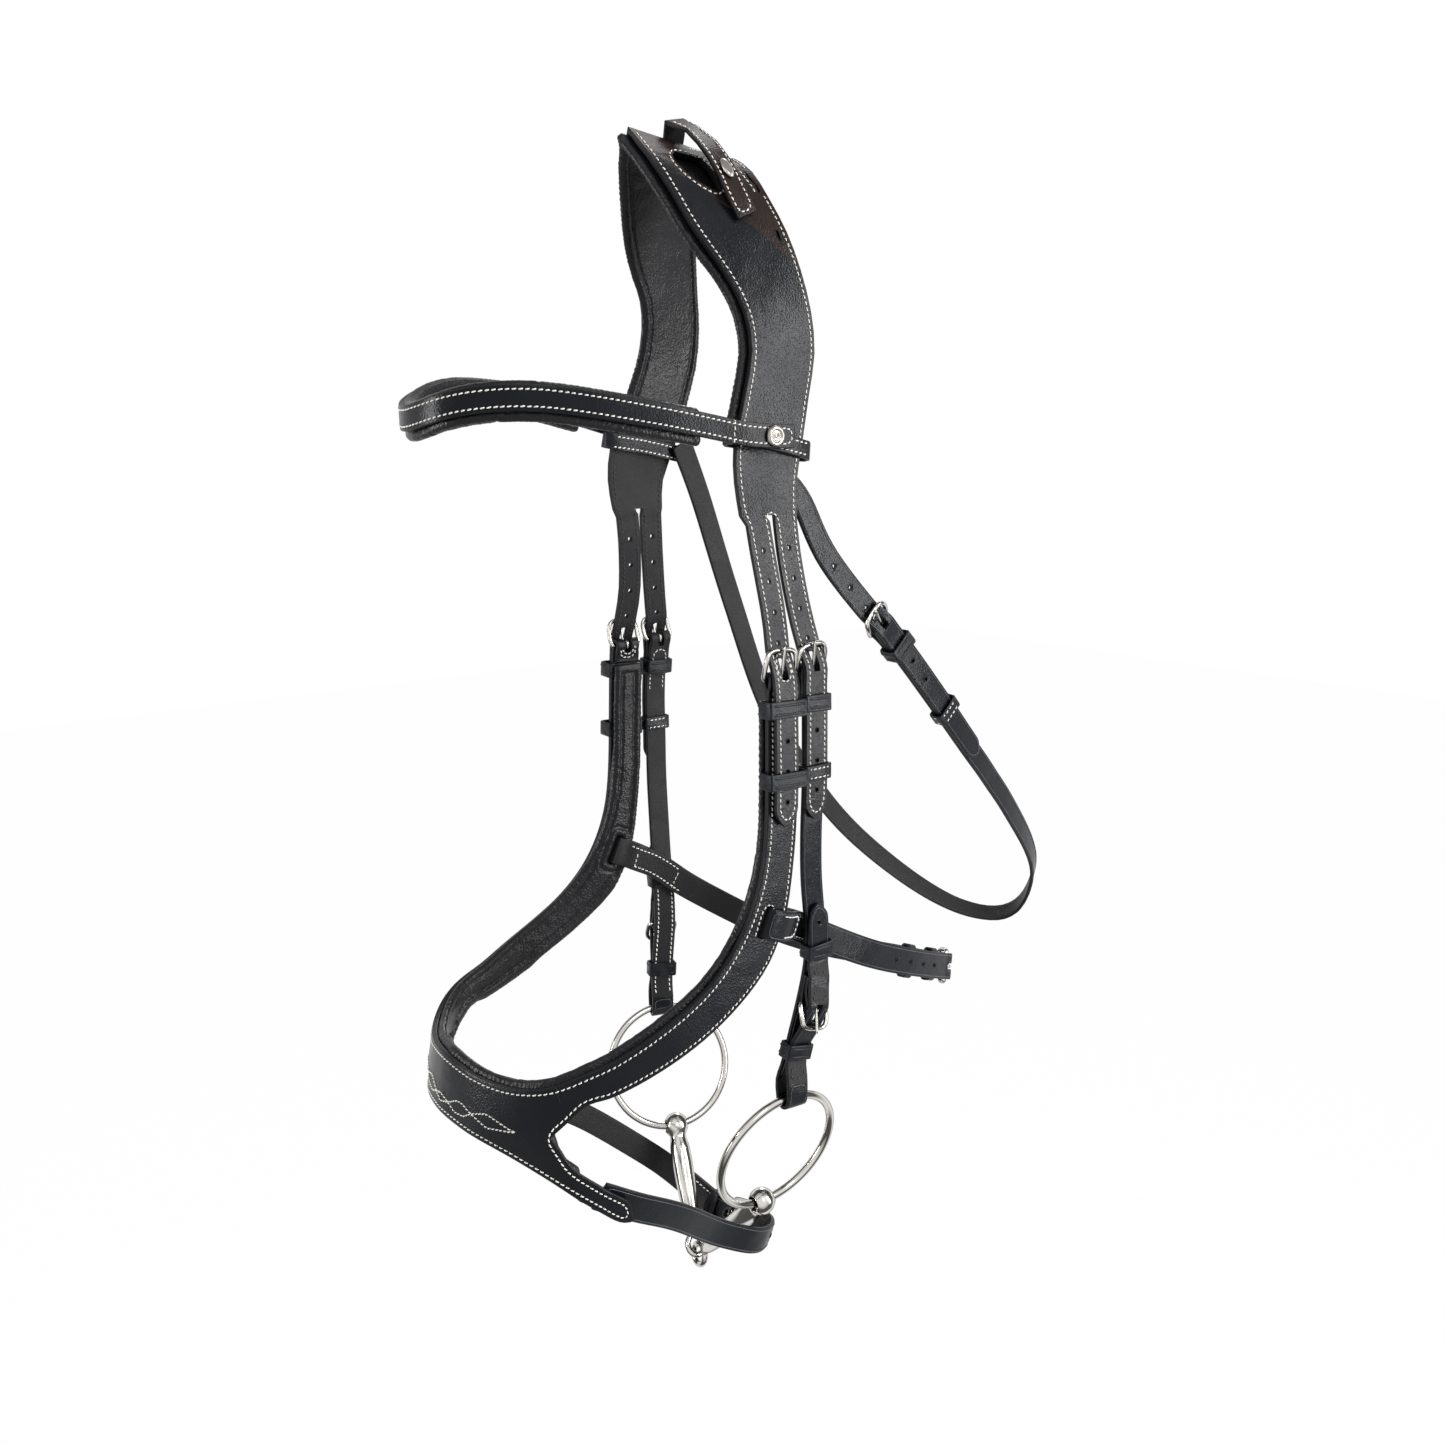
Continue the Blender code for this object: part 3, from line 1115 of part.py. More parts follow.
def nose_sheet(start, arm_start, columns, arm_columns, low, high):
    """The branch from the top to the middle of the nose, with the lower arm that joins its rear edge."""
    skins, cells = {}, []
    made = {}
    for i, t in enumerate(rows_between(start, NOSE.last, 2)):
        for j, (v, full) in enumerate(columns(t)):
            middle, half = (low + high(t)) / 2, (high(t) - low) / 2 * full
            made[t, j] = ("up", i, j)
            skins["up", i, j] = (NOSE.spot(t, v, middle + half), NOSE.spot(t, v, middle - half))
            if i and j:
                cells.append((("up", i - 1, j - 1), ("up", i - 1, j), ("up", i, j), ("up", i, j - 1)))
    own_rows = len(ARM_TOP_SHARES)
    rear = len(columns(start)) - 1
    arm = {}
    for i, t in enumerate(rows_between(arm_start, ARM.last, 2)):
        for j, (v, full) in enumerate(arm_columns(t)):
            if j == 0 and t >= own_rows:
                arm[i, j] = made[t - own_rows + CROTCH_ROW, rear]
                continue
            if j == 1 and t >= own_rows:
                full = 1
            top = high(t + CROTCH_ROW)
            middle, half = (low + top) / 2, (top - low) / 2 * full
            arm[i, j] = ("arm", i, j)
            skins["arm", i, j] = (ARM.spot(t, v, middle + half), ARM.spot(t, v, middle - half))
        if i:
            for j in range(1, len(arm_columns(t))):
                cells.append((arm[i - 1, j - 1], arm[i - 1, j], arm[i, j], arm[i, j - 1]))
    return skins, cells


def make_noseband():
    skins, cells = nose_sheet(0, 0, plain_columns, plain_columns, 0, lambda t: NOSE_LEATHER)
    seat = Seat(FRONT_LANE, FRONT_LANE.at_rise(NOSE_BAR_SHARE))
    more_skins, more_cells = lay(seat, chape_turn(NOSE_CHAPE_END)[:-1], NOSE_BILLET_WIDTH,
                                 STRAP_THICKNESS, "chape")
    end = max(key[1] for key in more_skins)
    skins.update(more_skins)
    cells += more_cells
    cells.append((("up", 0, 0), ("up", 0, 1), ("up", 0, 2), *(("chape", end, j) for j in range(4))))
    skins, cells = both_sides(skins, cells)
    nose = slab("noseband", skins, cells, "leather")
    pad_skins, pad_cells = nose_sheet(NOSE_PAD_ROW_SHARE, ARM_PAD_ROW_SHARE, nose_pad_columns,
                                      arm_pad_columns, -NOSE_PAD_DEPTH, pad_top)
    pad_skins, pad_cells = both_sides(pad_skins, pad_cells)
    pad = slab("noseband_padding", pad_skins, pad_cells, "lining")
    for side in SIDES:
        for target in (nose, pad):
            reach = STRAP_THICKNESS / 2 + LOOSE
            box_cut(target, jaw_slot(side), (-reach, reach), (-2 * NOSE_PAD_DEPTH, 2 * NOSE_PAD_DEPTH),
                    JAW_WIDTH / 2 + LOOSE, target.name + "_slit_" + side)
        front = SIDES[side][0]
        seat = Seat(front, front.at_rise(NOSE_BAR_SHARE))
        fastening("noseband_" + side, seat, NOSE_BILLET_WIDTH)
        half = NOSE_TOP_WIDTH / 2 + LOOSE
        high = NOSE_LIE + STRAP_THICKNESS / 2
        for word, share in (("upper", NOSE_UPPER_SHARE), ("lower", NOSE_LOWER_SHARE)):
            keeper("noseband_keeper_" + word + "_" + side, seat, seat.at(front.at_rise(share)), half,
                   -LOOSE, high)


def pad_top(t):
    """The padding lies lower behind the keepers."""
    return -NOSE_PAD_CLEAR if t <= KEEPER_END_ROW_SHARE else -2 * GAP


JAW_LANE = Lane(JAW_LANE_SHARES, NOSE_LEATHER)


def jaw_slot(side):
    if side == "near":
        return Seat(JAW_LANE)
    return Seat(JAW_LANE, JAW_LANE.length, -1)


def slot_turn():
    """A jaw strap's way from its sewn end over the noseband, through the slit and back inside."""
    top = NOSE_LEATHER + FOLD_ROOM / 2 + STRAP_THICKNESS / 2
    low = -NOSE_PAD_DEPTH - FOLD_ROOM - STRAP_THICKNESS / 2
    round_edge = STRAP_THICKNESS
    rest = STRAP_THICKNESS + GAP
    return [(FOLD_END, rest), (FOLD_EDGE + round_edge, (rest + top) / 2), (FOLD_EDGE, top), (round_edge, top),
            (round_edge * FOLD_SIDE_SHARE, top - round_edge * FOLD_TOP_SHARE), (0, top - round_edge),
            (0, low + round_edge),
            (round_edge * FOLD_SIDE_SHARE, low + round_edge * FOLD_TOP_SHARE), (round_edge, low),
            (FOLD_EDGE, low), (FOLD_END - round_edge, -round_edge / 2), (FOLD_END + round_edge, 0)]


def make_jaw_strap():
    lane = JAW_LANE
    bar = lane.nearest(JAW_BAR_SHARE)
    seat = Seat(lane, bar, -1, 0.0, -1)
    profile = [(bar - s, -n) for s, n in slot_turn()]
    profile += [(2 * CHAPE_END, -LAYER)] + chape_turn(CHAPE_END)[1:] + [(CHAPE_END, LAYER)]
    near = strap("jaw_strap_near", seat, profile, JAW_WIDTH, STRAP_THICKNESS)
    holes(near, seat, steps(CHAPE_END + HOLE_EDGE, JAW_HOLES), -LAYER)
    span = lane.length - bar
    arch = ARCH_SHARE * JAW_WIDTH
    lie = LAYER + STRAP_THICKNESS + KEEPER_ROOM + KEEPER_WALL + GAP
    profile = [(s - span, -n) for s, n in slot_turn()]
    profile += [(-arch - BILLET_LEAD, 0)] + over_buckle(JAW_WIDTH, lie, BILLET_SLOPE) + [(JAW_TIP, lie)]
    far = strap("jaw_strap_far", seat, profile, JAW_WIDTH, STRAP_THICKNESS, end_tip=True)
    holes(far, seat, steps(HOLE_PITCH, 2), lie)
    fastening("jaw", seat, JAW_WIDTH)
    low, high = lie - STRAP_THICKNESS / 2, lie + STRAP_THICKNESS / 2
    keeper("jaw_keeper", seat, JAW_KEEPER, JAW_WIDTH / 2, low, high)
    keeper("jaw_runner", seat, JAW_RUNNER, JAW_WIDTH / 2, low, high, RUNNER_HEIGHT)


def make_flash():
    lane = Lane(FLASH_LANE_SHARES, NOSE_LEATHER)
    bar = lane.nearest(FLASH_BAR_SHARE)
    seat = Seat(lane, bar, -1)
    arch = ARCH_SHARE * FLASH_WIDTH
    profile = chape_turn(CHAPE_END) + [(FLASH_TIP + STEP, LAYER), (FLASH_TIP + THROAT_RISE, 0), (bar, 0)]
    strap("flash_strap_far", seat, profile, FLASH_WIDTH, STRAP_THICKNESS)
    profile = [(bar - lane.length, 0), (-arch - FLASH_LEAD, 0), (-arch - BILLET_LEAD, BILLET_UNDER)]
    lie = BILLET_LIE + GAP
    profile += over_buckle(FLASH_WIDTH, lie, BILLET_SLOPE) + [(FLASH_TIP, lie)]
    near = strap("flash_strap_near", seat, profile, FLASH_WIDTH, STRAP_THICKNESS, end_tip=True)
    holes(near, seat, steps(-arch - HOLE_EDGE, FLASH_HOLES, -1), BILLET_UNDER)
    holes(near, seat, steps(HOLE_PITCH, FLASH_HOLES), lie)
    fastening("flash", seat, FLASH_WIDTH)
    low, high = -LAYER - STRAP_THICKNESS / 2, lie + STRAP_THICKNESS / 2
    keeper("flash_keeper", seat, FLASH_KEEPER, FLASH_WIDTH / 2, low, high)


def make_ring(side, wire, frame):
    """A round ring that hangs in a cheek strap's loop; returns its lowest place and its axis."""
    _, along, out, across = frame
    lean = math.radians(RING_LEANS[side])
    down = (along * math.cos(lean) - out * math.sin(lean)).normalized()
    centre = wire + down * RING_RADIUS
    path = []
    for k in range(RING_STEPS):
        angle = math.tau * k / RING_STEPS
        path.append(centre + (across * math.sin(angle) - down * math.cos(angle)) * RING_RADIUS)
    swivel(tube("bit_ring_" + side, path, RING_WIRE, "steel", True, WIRE_SIDES), centre)
    return centre + down * RING_RADIUS, across


def make_cannon(side, end, hole_way, eye_shift, eye_side, pivot):
    """Half of the mouthpiece: a ball with a hole for the ring, a tapering bar and an eye."""
    middle = place(MOUTH_SHARE)
    way = (end - middle).normalized()
    length = (end - middle).length
    root = eye_shift + EYE_RADIUS
    profile = [(root, 0)]
    for share, radius in CANNON_SHARES:
        profile.append((root + (length - root - CANNON_BALL) * share, radius * CANNON_FAT))
    for angle in CANNON_BALL_TURN:
        t = math.radians(angle)
        profile.append((length + CANNON_BALL * math.cos(t), CANNON_BALL * math.sin(t)))
    profile.append((length + CANNON_BALL, 0))
    guide = hole_way - way * hole_way.dot(way)
    bar = lathe("cannon_" + side, middle, way, guide.normalized(), profile, "steel", CANNON_SIDES)
    centre = middle + way * eye_shift
    path = []
    for k in range(EYE_STEPS):
        angle = math.tau * k / EYE_STEPS
        path.append(centre + (way * math.cos(angle) + eye_side * math.sin(angle)) * EYE_RADIUS)
    eye = tube("cannon_eye_" + side, path, EYE_WIRE, "steel", True, WIRE_SIDES)
    eye.hide_render = True
    eye.display_type = "WIRE"
    boolean(bar, eye, "UNION")
    half = 2 * CANNON_BALL
    hole = lathe("cannon_hole_" + side, end - hole_way * half, hole_way, way, [(0, CANNON_HOLE),
                 (2 * half, CANNON_HOLE)], None, CANNON_SIDES)
    boolean(bar, hole, "DIFFERENCE")
    for item in (bar, eye, hole):
        swivel(item, pivot)


def make_bit():
    ends, holes_way = {}, {}
    for side in SIDES:
        wire, frame = make_cheek(side)
        ends[side], holes_way[side] = make_ring(side, wire, frame)
    middle = place(MOUTH_SHARE)
    near = (ends["near"] - middle).normalized()
    far = (ends["far"] - middle).normalized()
    normal = near.cross(far).normalized()
    flat = normal.cross(near).normalized()
    make_cannon("near", ends["near"], holes_way["near"], EYE_NEAR, flat, ends["near"])
    make_cannon("far", ends["far"], holes_way["far"], EYE_FAR, normal, ends["far"])


def clear_scene():
    for item in list(bpy.data.objects):
        bpy.data.objects.remove(item, do_unlink=True)


clear_scene()
make_headpiece()
make_head_padding()
make_poll_strap()
make_browband()
make_throatlatch()
make_noseband()
make_jaw_strap()
make_flash()
make_bit()
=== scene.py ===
import math

import bmesh
import bpy
import numpy as np
from mathutils import Matrix, Vector, noise
from mathutils.bvhtree import BVHTree
from mathutils.kdtree import KDTree


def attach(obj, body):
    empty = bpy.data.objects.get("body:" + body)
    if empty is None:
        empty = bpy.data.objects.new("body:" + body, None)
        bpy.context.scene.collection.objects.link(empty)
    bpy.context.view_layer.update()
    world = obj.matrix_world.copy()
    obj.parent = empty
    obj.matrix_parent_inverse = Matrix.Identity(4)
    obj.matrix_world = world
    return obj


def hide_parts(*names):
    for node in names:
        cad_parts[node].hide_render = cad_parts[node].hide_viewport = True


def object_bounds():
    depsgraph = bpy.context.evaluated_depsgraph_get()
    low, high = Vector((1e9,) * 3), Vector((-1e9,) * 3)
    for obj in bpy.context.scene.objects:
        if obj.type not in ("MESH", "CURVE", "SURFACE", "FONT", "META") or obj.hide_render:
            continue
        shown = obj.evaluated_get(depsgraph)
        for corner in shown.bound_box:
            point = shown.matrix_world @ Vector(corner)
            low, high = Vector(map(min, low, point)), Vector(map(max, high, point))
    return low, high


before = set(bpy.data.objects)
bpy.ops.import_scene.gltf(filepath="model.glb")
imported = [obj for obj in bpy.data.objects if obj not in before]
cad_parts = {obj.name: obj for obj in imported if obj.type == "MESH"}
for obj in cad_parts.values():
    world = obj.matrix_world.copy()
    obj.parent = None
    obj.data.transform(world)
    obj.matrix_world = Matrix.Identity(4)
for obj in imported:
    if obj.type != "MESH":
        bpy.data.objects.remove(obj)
cad_box = [list(corner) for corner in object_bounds()]

# The studio. The bridle hangs free in front of a white sweep, seen from its near side, a
# little from ahead and from above, by a wide lens from close by. Five softboxes light it.
CAMERA_PLACE = (0.5373, -0.3631, -0.1437)
CAMERA_AZIMUTH = math.radians(54.2)
CAMERA_ELEVATION = math.radians(12.4)
CAMERA_ROLL = math.radians(-0.7)
LENS_MM = 30.28
SENSOR_MM = 36.0
CLIP_START = 0.01
WHITE = (1.0, 1.0, 1.0, 1.0)
PAPER_WHITE = (0.86, 0.86, 0.86, 1.0)
SWEEP_SHOWN_SHARE = 0.985
AMBIENT = 0.30
FLOOR_BELOW = 0.75
FLOOR_SIDE = 12.0
BRIDLE_MIDDLE = Vector((0, 0.03, -0.3))


def aim(place, azimuth, elevation, roll):
    """A camera's matrix: back along the view, right and up turned by the roll."""
    back = Vector((math.sin(azimuth) * math.cos(elevation),
                   -math.cos(azimuth) * math.cos(elevation), math.sin(elevation)))
    right = (-back).cross(Vector((0, 0, 1))).normalized()
    up = right.cross(-back)
    turned = math.cos(roll) * right + math.sin(roll) * up
    lifted = -math.sin(roll) * right + math.cos(roll) * up
    return Matrix.Translation(place) @ Matrix((turned, lifted, back)).transposed().to_4x4()


camera = bpy.data.objects.new("camera", bpy.data.cameras.new("camera"))
camera.data.lens = LENS_MM
camera.data.sensor_width = SENSOR_MM
camera.data.clip_start = CLIP_START
camera.matrix_world = aim(CAMERA_PLACE, CAMERA_AZIMUTH, CAMERA_ELEVATION, CAMERA_ROLL)
bpy.context.scene.collection.objects.link(camera)
bpy.context.scene.camera = camera
bpy.context.scene.view_settings.view_transform = "Standard"


def linked(tree, kind, inputs, **settings):
    """A new shader node with its settings, and its inputs set or linked."""
    node = tree.nodes.new(kind)
    for name, value in settings.items():
        setattr(node, name, value)
    for name, value in inputs.items():
        if isinstance(value, bpy.types.NodeSocket):
            tree.links.new(value, node.inputs[name])
        else:
            node.inputs[name].default_value = value
    return node


def maths(tree, operation, first, second, third=0.0):
    """The result of one Math node."""
    node = linked(tree, "ShaderNodeMath", {0: first, 1: second, 2: third}, operation=operation)
    return node.outputs[0]


def backdrop_rays(tree):
    """One for the rays that show the backdrop: the camera's, mirrored and glassy ones."""
    path = tree.nodes.new("ShaderNodeLightPath")
    straight = maths(tree, "MAXIMUM", path.outputs["Is Camera Ray"], path.outputs["Is Glossy Ray"])
    return maths(tree, "MAXIMUM", straight, path.outputs["Is Transmission Ray"])


world = bpy.data.worlds.new("studio")
world.use_nodes = True
bpy.context.scene.world = world
tree = world.node_tree
tree.nodes.clear()
ambient = linked(tree, "ShaderNodeBackground", {"Color": WHITE, "Strength": AMBIENT})
shown = linked(tree, "ShaderNodeBackground", {"Color": WHITE, "Strength": 1.0})
mixed = linked(tree, "ShaderNodeMixShader", {0: backdrop_rays(tree), 1: ambient.outputs[0],
                                             2: shown.outputs[0]})
linked(tree, "ShaderNodeOutputWorld", {"Surface": mixed.outputs[0]})

sweep_paper = bpy.data.materials.new("sweep_paper")
sweep_paper.use_nodes = True
tree = sweep_paper.node_tree
tree.nodes.clear()
paper = linked(tree, "ShaderNodeBsdfDiffuse", {"Color": PAPER_WHITE})
lit = linked(tree, "ShaderNodeEmission", {"Color": WHITE, "Strength": 1.0})
share = maths(tree, "MULTIPLY", backdrop_rays(tree), SWEEP_SHOWN_SHARE)
mixed = linked(tree, "ShaderNodeMixShader", {0: share, 1: paper.outputs[0], 2: lit.outputs[0]})
linked(tree, "ShaderNodeOutputMaterial", {"Surface": mixed.outputs[0]})

half = FLOOR_SIDE / 2
level = cad_box[0][2] - FLOOR_BELOW
floor_mesh = bpy.data.meshes.new("floor")
floor_mesh.from_pydata([(-half, -half, level), (half, -half, level), (half, half, level),
                        (-half, half, level)], [], [(0, 1, 2, 3)])
floor_mesh.materials.append(sweep_paper)
floor = bpy.data.objects.new("floor", floor_mesh)
bpy.context.scene.collection.objects.link(floor)

# Each softbox: where it stands, its width, its height and its power in watts.
SOFTBOXES = {
    "key_softbox": ((1.5, -0.5, 0.9), 0.4, 0.7, 6.0),
    "side_softbox": ((1.35, 0.95, 0.05), 0.35, 1.9, 44.0),
    "front_softbox": ((-0.55, -1.7, -0.1), 0.25, 1.2, 26.0),
    "top_softbox": ((-0.3, 0.8, 1.2), 0.4, 0.4, 3.0),
    "rear_softbox": ((-1.3, 1.1, 0.3), 0.4, 0.7, 6.0),
}
for name, (place, width, height, power) in SOFTBOXES.items():
    lamp = bpy.data.lights.new(name, "AREA")
    lamp.shape = "RECTANGLE"
    lamp.size = width
    lamp.size_y = height
    lamp.energy = power
    stand = bpy.data.objects.new(name, lamp)
    stand.location = place
    stand.rotation_euler = (BRIDLE_MIDDLE - Vector(place)).to_track_quat("-Z", "Y").to_euler()
    bpy.context.scene.collection.objects.link(stand)

# The headpiece. One piece of smooth black cowhide, cut to curve behind the ears, with a
# billet pair at each end, a teardrop window and a rear slot; its edges are dyed and
# burnished, and a row of white thread runs along every edge.
LEATHER_BLACK = (0.0030, 0.0034, 0.0048)
LEATHER_SHEEN = (0.0070, 0.0080, 0.0110)
CROWN_DARK = (0.0110, 0.0066, 0.0058)
CROWN_BROWN = (0.0240, 0.0140, 0.0110)
FLESH_DARK = (0.0080, 0.0078, 0.0088)
FLESH_GREY = (0.0160, 0.0155, 0.0170)
EDGE_DYE = (0.0070, 0.0070, 0.0085)
FINE_GRAIN_SHARE = 0.35
WORN_PALER = 0.03
WORN_GAIN = 2
WORN_DULLER = 0.15
CLOUD_SHINIER = 0.06
CLOUD_DULLER = 0.08
CROWN_LINE_SLOPE = 0.85
CROWN_LINE_HEIGHT = -0.0193


def group(name, inputs, outputs):
    """An empty shader node group, with its named numbers in and out."""
    made = bpy.data.node_groups.new(name, "ShaderNodeTree")
    kind = "NodeSocketFloat"
    for socket, value in inputs.items():
        item = made.interface.new_socket(name=socket, in_out="INPUT", socket_type=kind)
        item.default_value = value
    for socket in outputs:
        made.interface.new_socket(name=socket, in_out="OUTPUT", socket_type=kind)
    return made, made.nodes.new("NodeGroupInput").outputs, made.nodes.new("NodeGroupOutput").inputs


# Pebbled skin: cells of the grain, broken by noise, with faint long creases and slow waves.
grain, given, put = group("leather_grain", {"Size": 0.0011, "Creases": 0.3, "Waves": 3.0},
                          ("Height", "Cloud"))
where = grain.nodes.new("ShaderNodeTexCoord").outputs["Object"]
scale = maths(grain, "DIVIDE", 1.0, given["Size"])
cells = linked(grain, "ShaderNodeTexVoronoi", {"Vector": where, "Scale": scale},
               feature="SMOOTH_F1")
fine = linked(grain, "ShaderNodeTexNoise", {"Vector": where, "Scale": 900.0, "Detail": 4.0})
stretched = linked(grain, "ShaderNodeMapping", {"Vector": where, "Scale": (1.0, 1.0, 3.2)})
crease = linked(grain, "ShaderNodeTexNoise", {"Vector": stretched.outputs[0], "Scale": 85.0,
                                              "Detail": 5.0, "Distortion": 0.8})
cloud = linked(grain, "ShaderNodeTexNoise", {"Vector": where, "Scale": 26.0, "Detail": 5.0})
slow = linked(grain, "ShaderNodeTexNoise", {"Vector": where, "Scale": 34.0, "Detail": 2.0,
                                            "Distortion": 0.5})
pebbles = maths(grain, "MULTIPLY_ADD", fine.outputs["Fac"], FINE_GRAIN_SHARE,
                cells.outputs["Distance"])
folds = maths(grain, "MULTIPLY_ADD", crease.outputs["Fac"], given["Creases"], pebbles)
waved = maths(grain, "MULTIPLY_ADD", slow.outputs["Fac"], given["Waves"], folds)
grain.links.new(waved, put["Height"])
grain.links.new(cloud.outputs["Fac"], put["Cloud"])

# Edge wear: how much a place stands out from its surroundings, broken by noise.
wear, given, put = group("edge_wear", {"Amount": 0.5}, ("Worn",))
where = wear.nodes.new("ShaderNodeTexCoord").outputs["Object"]
jut = wear.nodes.new("ShaderNodeNewGeometry").outputs["Pointiness"]
sharp = linked(wear, "ShaderNodeMapRange", {"Value": jut, "From Min": 0.51, "From Max": 0.60})
patches = linked(wear, "ShaderNodeTexNoise", {"Vector": where, "Scale": 160.0, "Detail": 6.0})
broken = linked(wear, "ShaderNodeMapRange", {"Value": patches.outputs["Fac"], "From Min": 0.38,
                                             "From Max": 0.66})
rubbed = maths(wear, "MULTIPLY", sharp.outputs[0], broken.outputs[0])
wear.links.new(maths(wear, "MULTIPLY", rubbed, given["Amount"]), put["Worn"])


def placed(tree, made, **values):
    """A group node in a material, with its inputs set."""
    return linked(tree, "ShaderNodeGroup", values, node_tree=made).outputs


def opaque(colour):
    """A colour with its alpha; a socket stays as it is."""
    return (*colour, 1.0) if isinstance(colour, tuple) else colour


def mixed_colour(tree, factor, first, second):
    """Two colours mixed by a factor. A Mix node's colour sockets are told apart by number."""
    inputs = {0: factor, 6: opaque(first), 7: opaque(second)}
    return linked(tree, "ShaderNodeMix", inputs, data_type="RGBA").outputs[2]


def finish(name):
    """A new material: itself, its node tree and its main shader."""
    material = bpy.data.materials.new(name)
    material.use_nodes = True
    return material, material.node_tree, material.node_tree.nodes["Principled BSDF"]


def hide(name, dark, light, rough, grain_size, depth, creases, worn, gloss=0.13, waves=7.0,
         below=None):
    """A leather: grain and creases in the bump, clouds in colour and gloss, pale worn edges.

    Below the slanted line where the crown's brown ends, it may take another pair of colours.
    """
    material, tree, shader = finish(name)
    skin = placed(tree, grain, Size=grain_size, Creases=creases, Waves=waves)
    rubbed = placed(tree, wear, Amount=worn)["Worn"]
    clouded = mixed_colour(tree, skin["Cloud"], dark, light)
    if below:
        where = tree.nodes.new("ShaderNodeTexCoord").outputs["Object"]
        place = linked(tree, "ShaderNodeSeparateXYZ", {"Vector": where}).outputs
        height = maths(tree, "MULTIPLY_ADD", place["Y"], CROWN_LINE_SLOPE, place["Z"])
        under = maths(tree, "LESS_THAN", height, CROWN_LINE_HEIGHT)
        clouded = mixed_colour(tree, under, clouded, mixed_colour(tree, skin["Cloud"], *below))
    pale = tuple(WORN_PALER + channel * WORN_GAIN for channel in light)
    tree.links.new(mixed_colour(tree, rubbed, clouded, pale), shader.inputs["Base Color"])
    dull = linked(tree, "ShaderNodeMapRange", {"Value": skin["Cloud"], "From Min": 0.3,
                                               "From Max": 0.7, "To Min": rough - CLOUD_SHINIER,
                                               "To Max": rough + CLOUD_DULLER})
    tree.links.new(maths(tree, "MULTIPLY_ADD", rubbed, WORN_DULLER, dull.outputs[0]),
                   shader.inputs["Roughness"])
    bump = linked(tree, "ShaderNodeBump", {"Height": skin["Height"], "Strength": 1.0,
                                           "Distance": depth})
    tree.links.new(bump.outputs[0], shader.inputs["Normal"])
    shader.inputs["Specular IOR Level"].default_value = gloss
    return material


smooth_hide = hide("smooth_hide", LEATHER_BLACK, LEATHER_SHEEN, rough=0.27, grain_size=0.0008,
                   depth=0.00012, creases=0.6, worn=0.3)
crown_hide = hide("crown_hide", CROWN_DARK, CROWN_BROWN, rough=0.27, grain_size=0.0008,
                  depth=0.00012, creases=0.6, worn=0.3, below=(LEATHER_BLACK, LEATHER_SHEEN))
flesh_side = hide("flesh_side", FLESH_DARK, FLESH_GREY, rough=0.50, grain_size=0.0005,
                  depth=0.00015, creases=0.2, worn=0.2, gloss=0.16)
dyed_edge = hide("dyed_edge", LEATHER_BLACK, EDGE_DYE, rough=0.40, grain_size=0.0004,
                 depth=0.00003, creases=0.1, worn=0.5)

# Cut leather: the broad sides of each solid are its grain side and its flesh side, and what
# lies between them is its dyed edge, with its corners rounded over.
JOINED = 0.00001
FOLD_ANGLE = math.radians(55)
ROUNDED_ANGLE = math.radians(50)
HEAD_MIDDLE = Vector((0.0, 0.03, -0.12))
BROAD_SHARE = 0.4
CLEAR_LEAN = 0.1
EDGE_SLOT = 2
EDGE_ROUND = 0.00045
HEADPIECE_EDGE_ROUND = 0.00025
HOLE_REACH = 0.018
HOLE_RIM = 0.00028


def cad_faces(node):
    """A CAD node's faces as an editable mesh, joined at their shared points."""
    mesh = bmesh.new()
    mesh.from_mesh(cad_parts[node].data)
    bmesh.ops.remove_doubles(mesh, verts=mesh.verts, dist=JOINED)
    mesh.verts.index_update()
    return mesh


def area_of(side):
    """The area of a list of faces."""
    return sum(face.calc_area() for face in side)


def smooth_sides(mesh):
    """The mesh's faces in lists that no sharp edge divides, the widest first."""
    sides = []
    seen = set()
    for start in mesh.faces:
        if start in seen:
            continue
        seen.add(start)
        side = [start]
        for face in side:
            for edge in face.edges:
                if edge.calc_face_angle(math.pi) < FOLD_ANGLE:
                    more = [other for other in edge.link_faces if other not in seen]
                    seen.update(more)
                    side += more
        sides.append(side)
    return sorted(sides, key=area_of, reverse=True)


def outward(face, middle):
    """How far a face looks away from a point."""
    return face.normal.dot((face.calc_center_median() - middle).normalized())


def skins(mesh, ring=False):
    """The faces of a piece's outer side and of its inner side, as seen from within the head.

    A ring has its own middle. A side that folds back on itself is divided face by face.
    """
    middle = HEAD_MIDDLE
    if ring:
        middle = sum((vert.co for vert in mesh.verts), Vector()) / len(mesh.verts)
    found = ([], [])
    sides = smooth_sides(mesh)
    least = BROAD_SHARE * area_of(sides[0])
    for side in sides:
        area = area_of(side)
        if area < least:
            break
        lean = sum(outward(face, middle) * face.calc_area() for face in side) / area
        for face in side:
            way = lean if abs(lean) > CLEAR_LEAN else outward(face, middle)
            found[way < 0].append(face)
    return found


def outlines(side):
    """The outlines of a list of faces: for each, its points and inward directions."""
    steps = {}
    inside = set(side)
    for face in side:
        for loop in face.loops:
            if any(other not in inside for other in loop.edge.link_faces):
                steps[loop.vert] = (loop.link_loop_next.vert, face.normal)
    rims = []
    while steps:
        vert = next(iter(steps))
        rim = []
        while vert in steps:
            ahead, normal = steps.pop(vert)
            along = ahead.co - vert.co
            rim.append((vert.co.copy(), along, normal.cross(along).normalized()))
            vert = ahead
        rims.append(rim)
    return rims


def length_of(rim):
    """The length of an outline."""
    return sum(along.length for _, along, _ in rim)


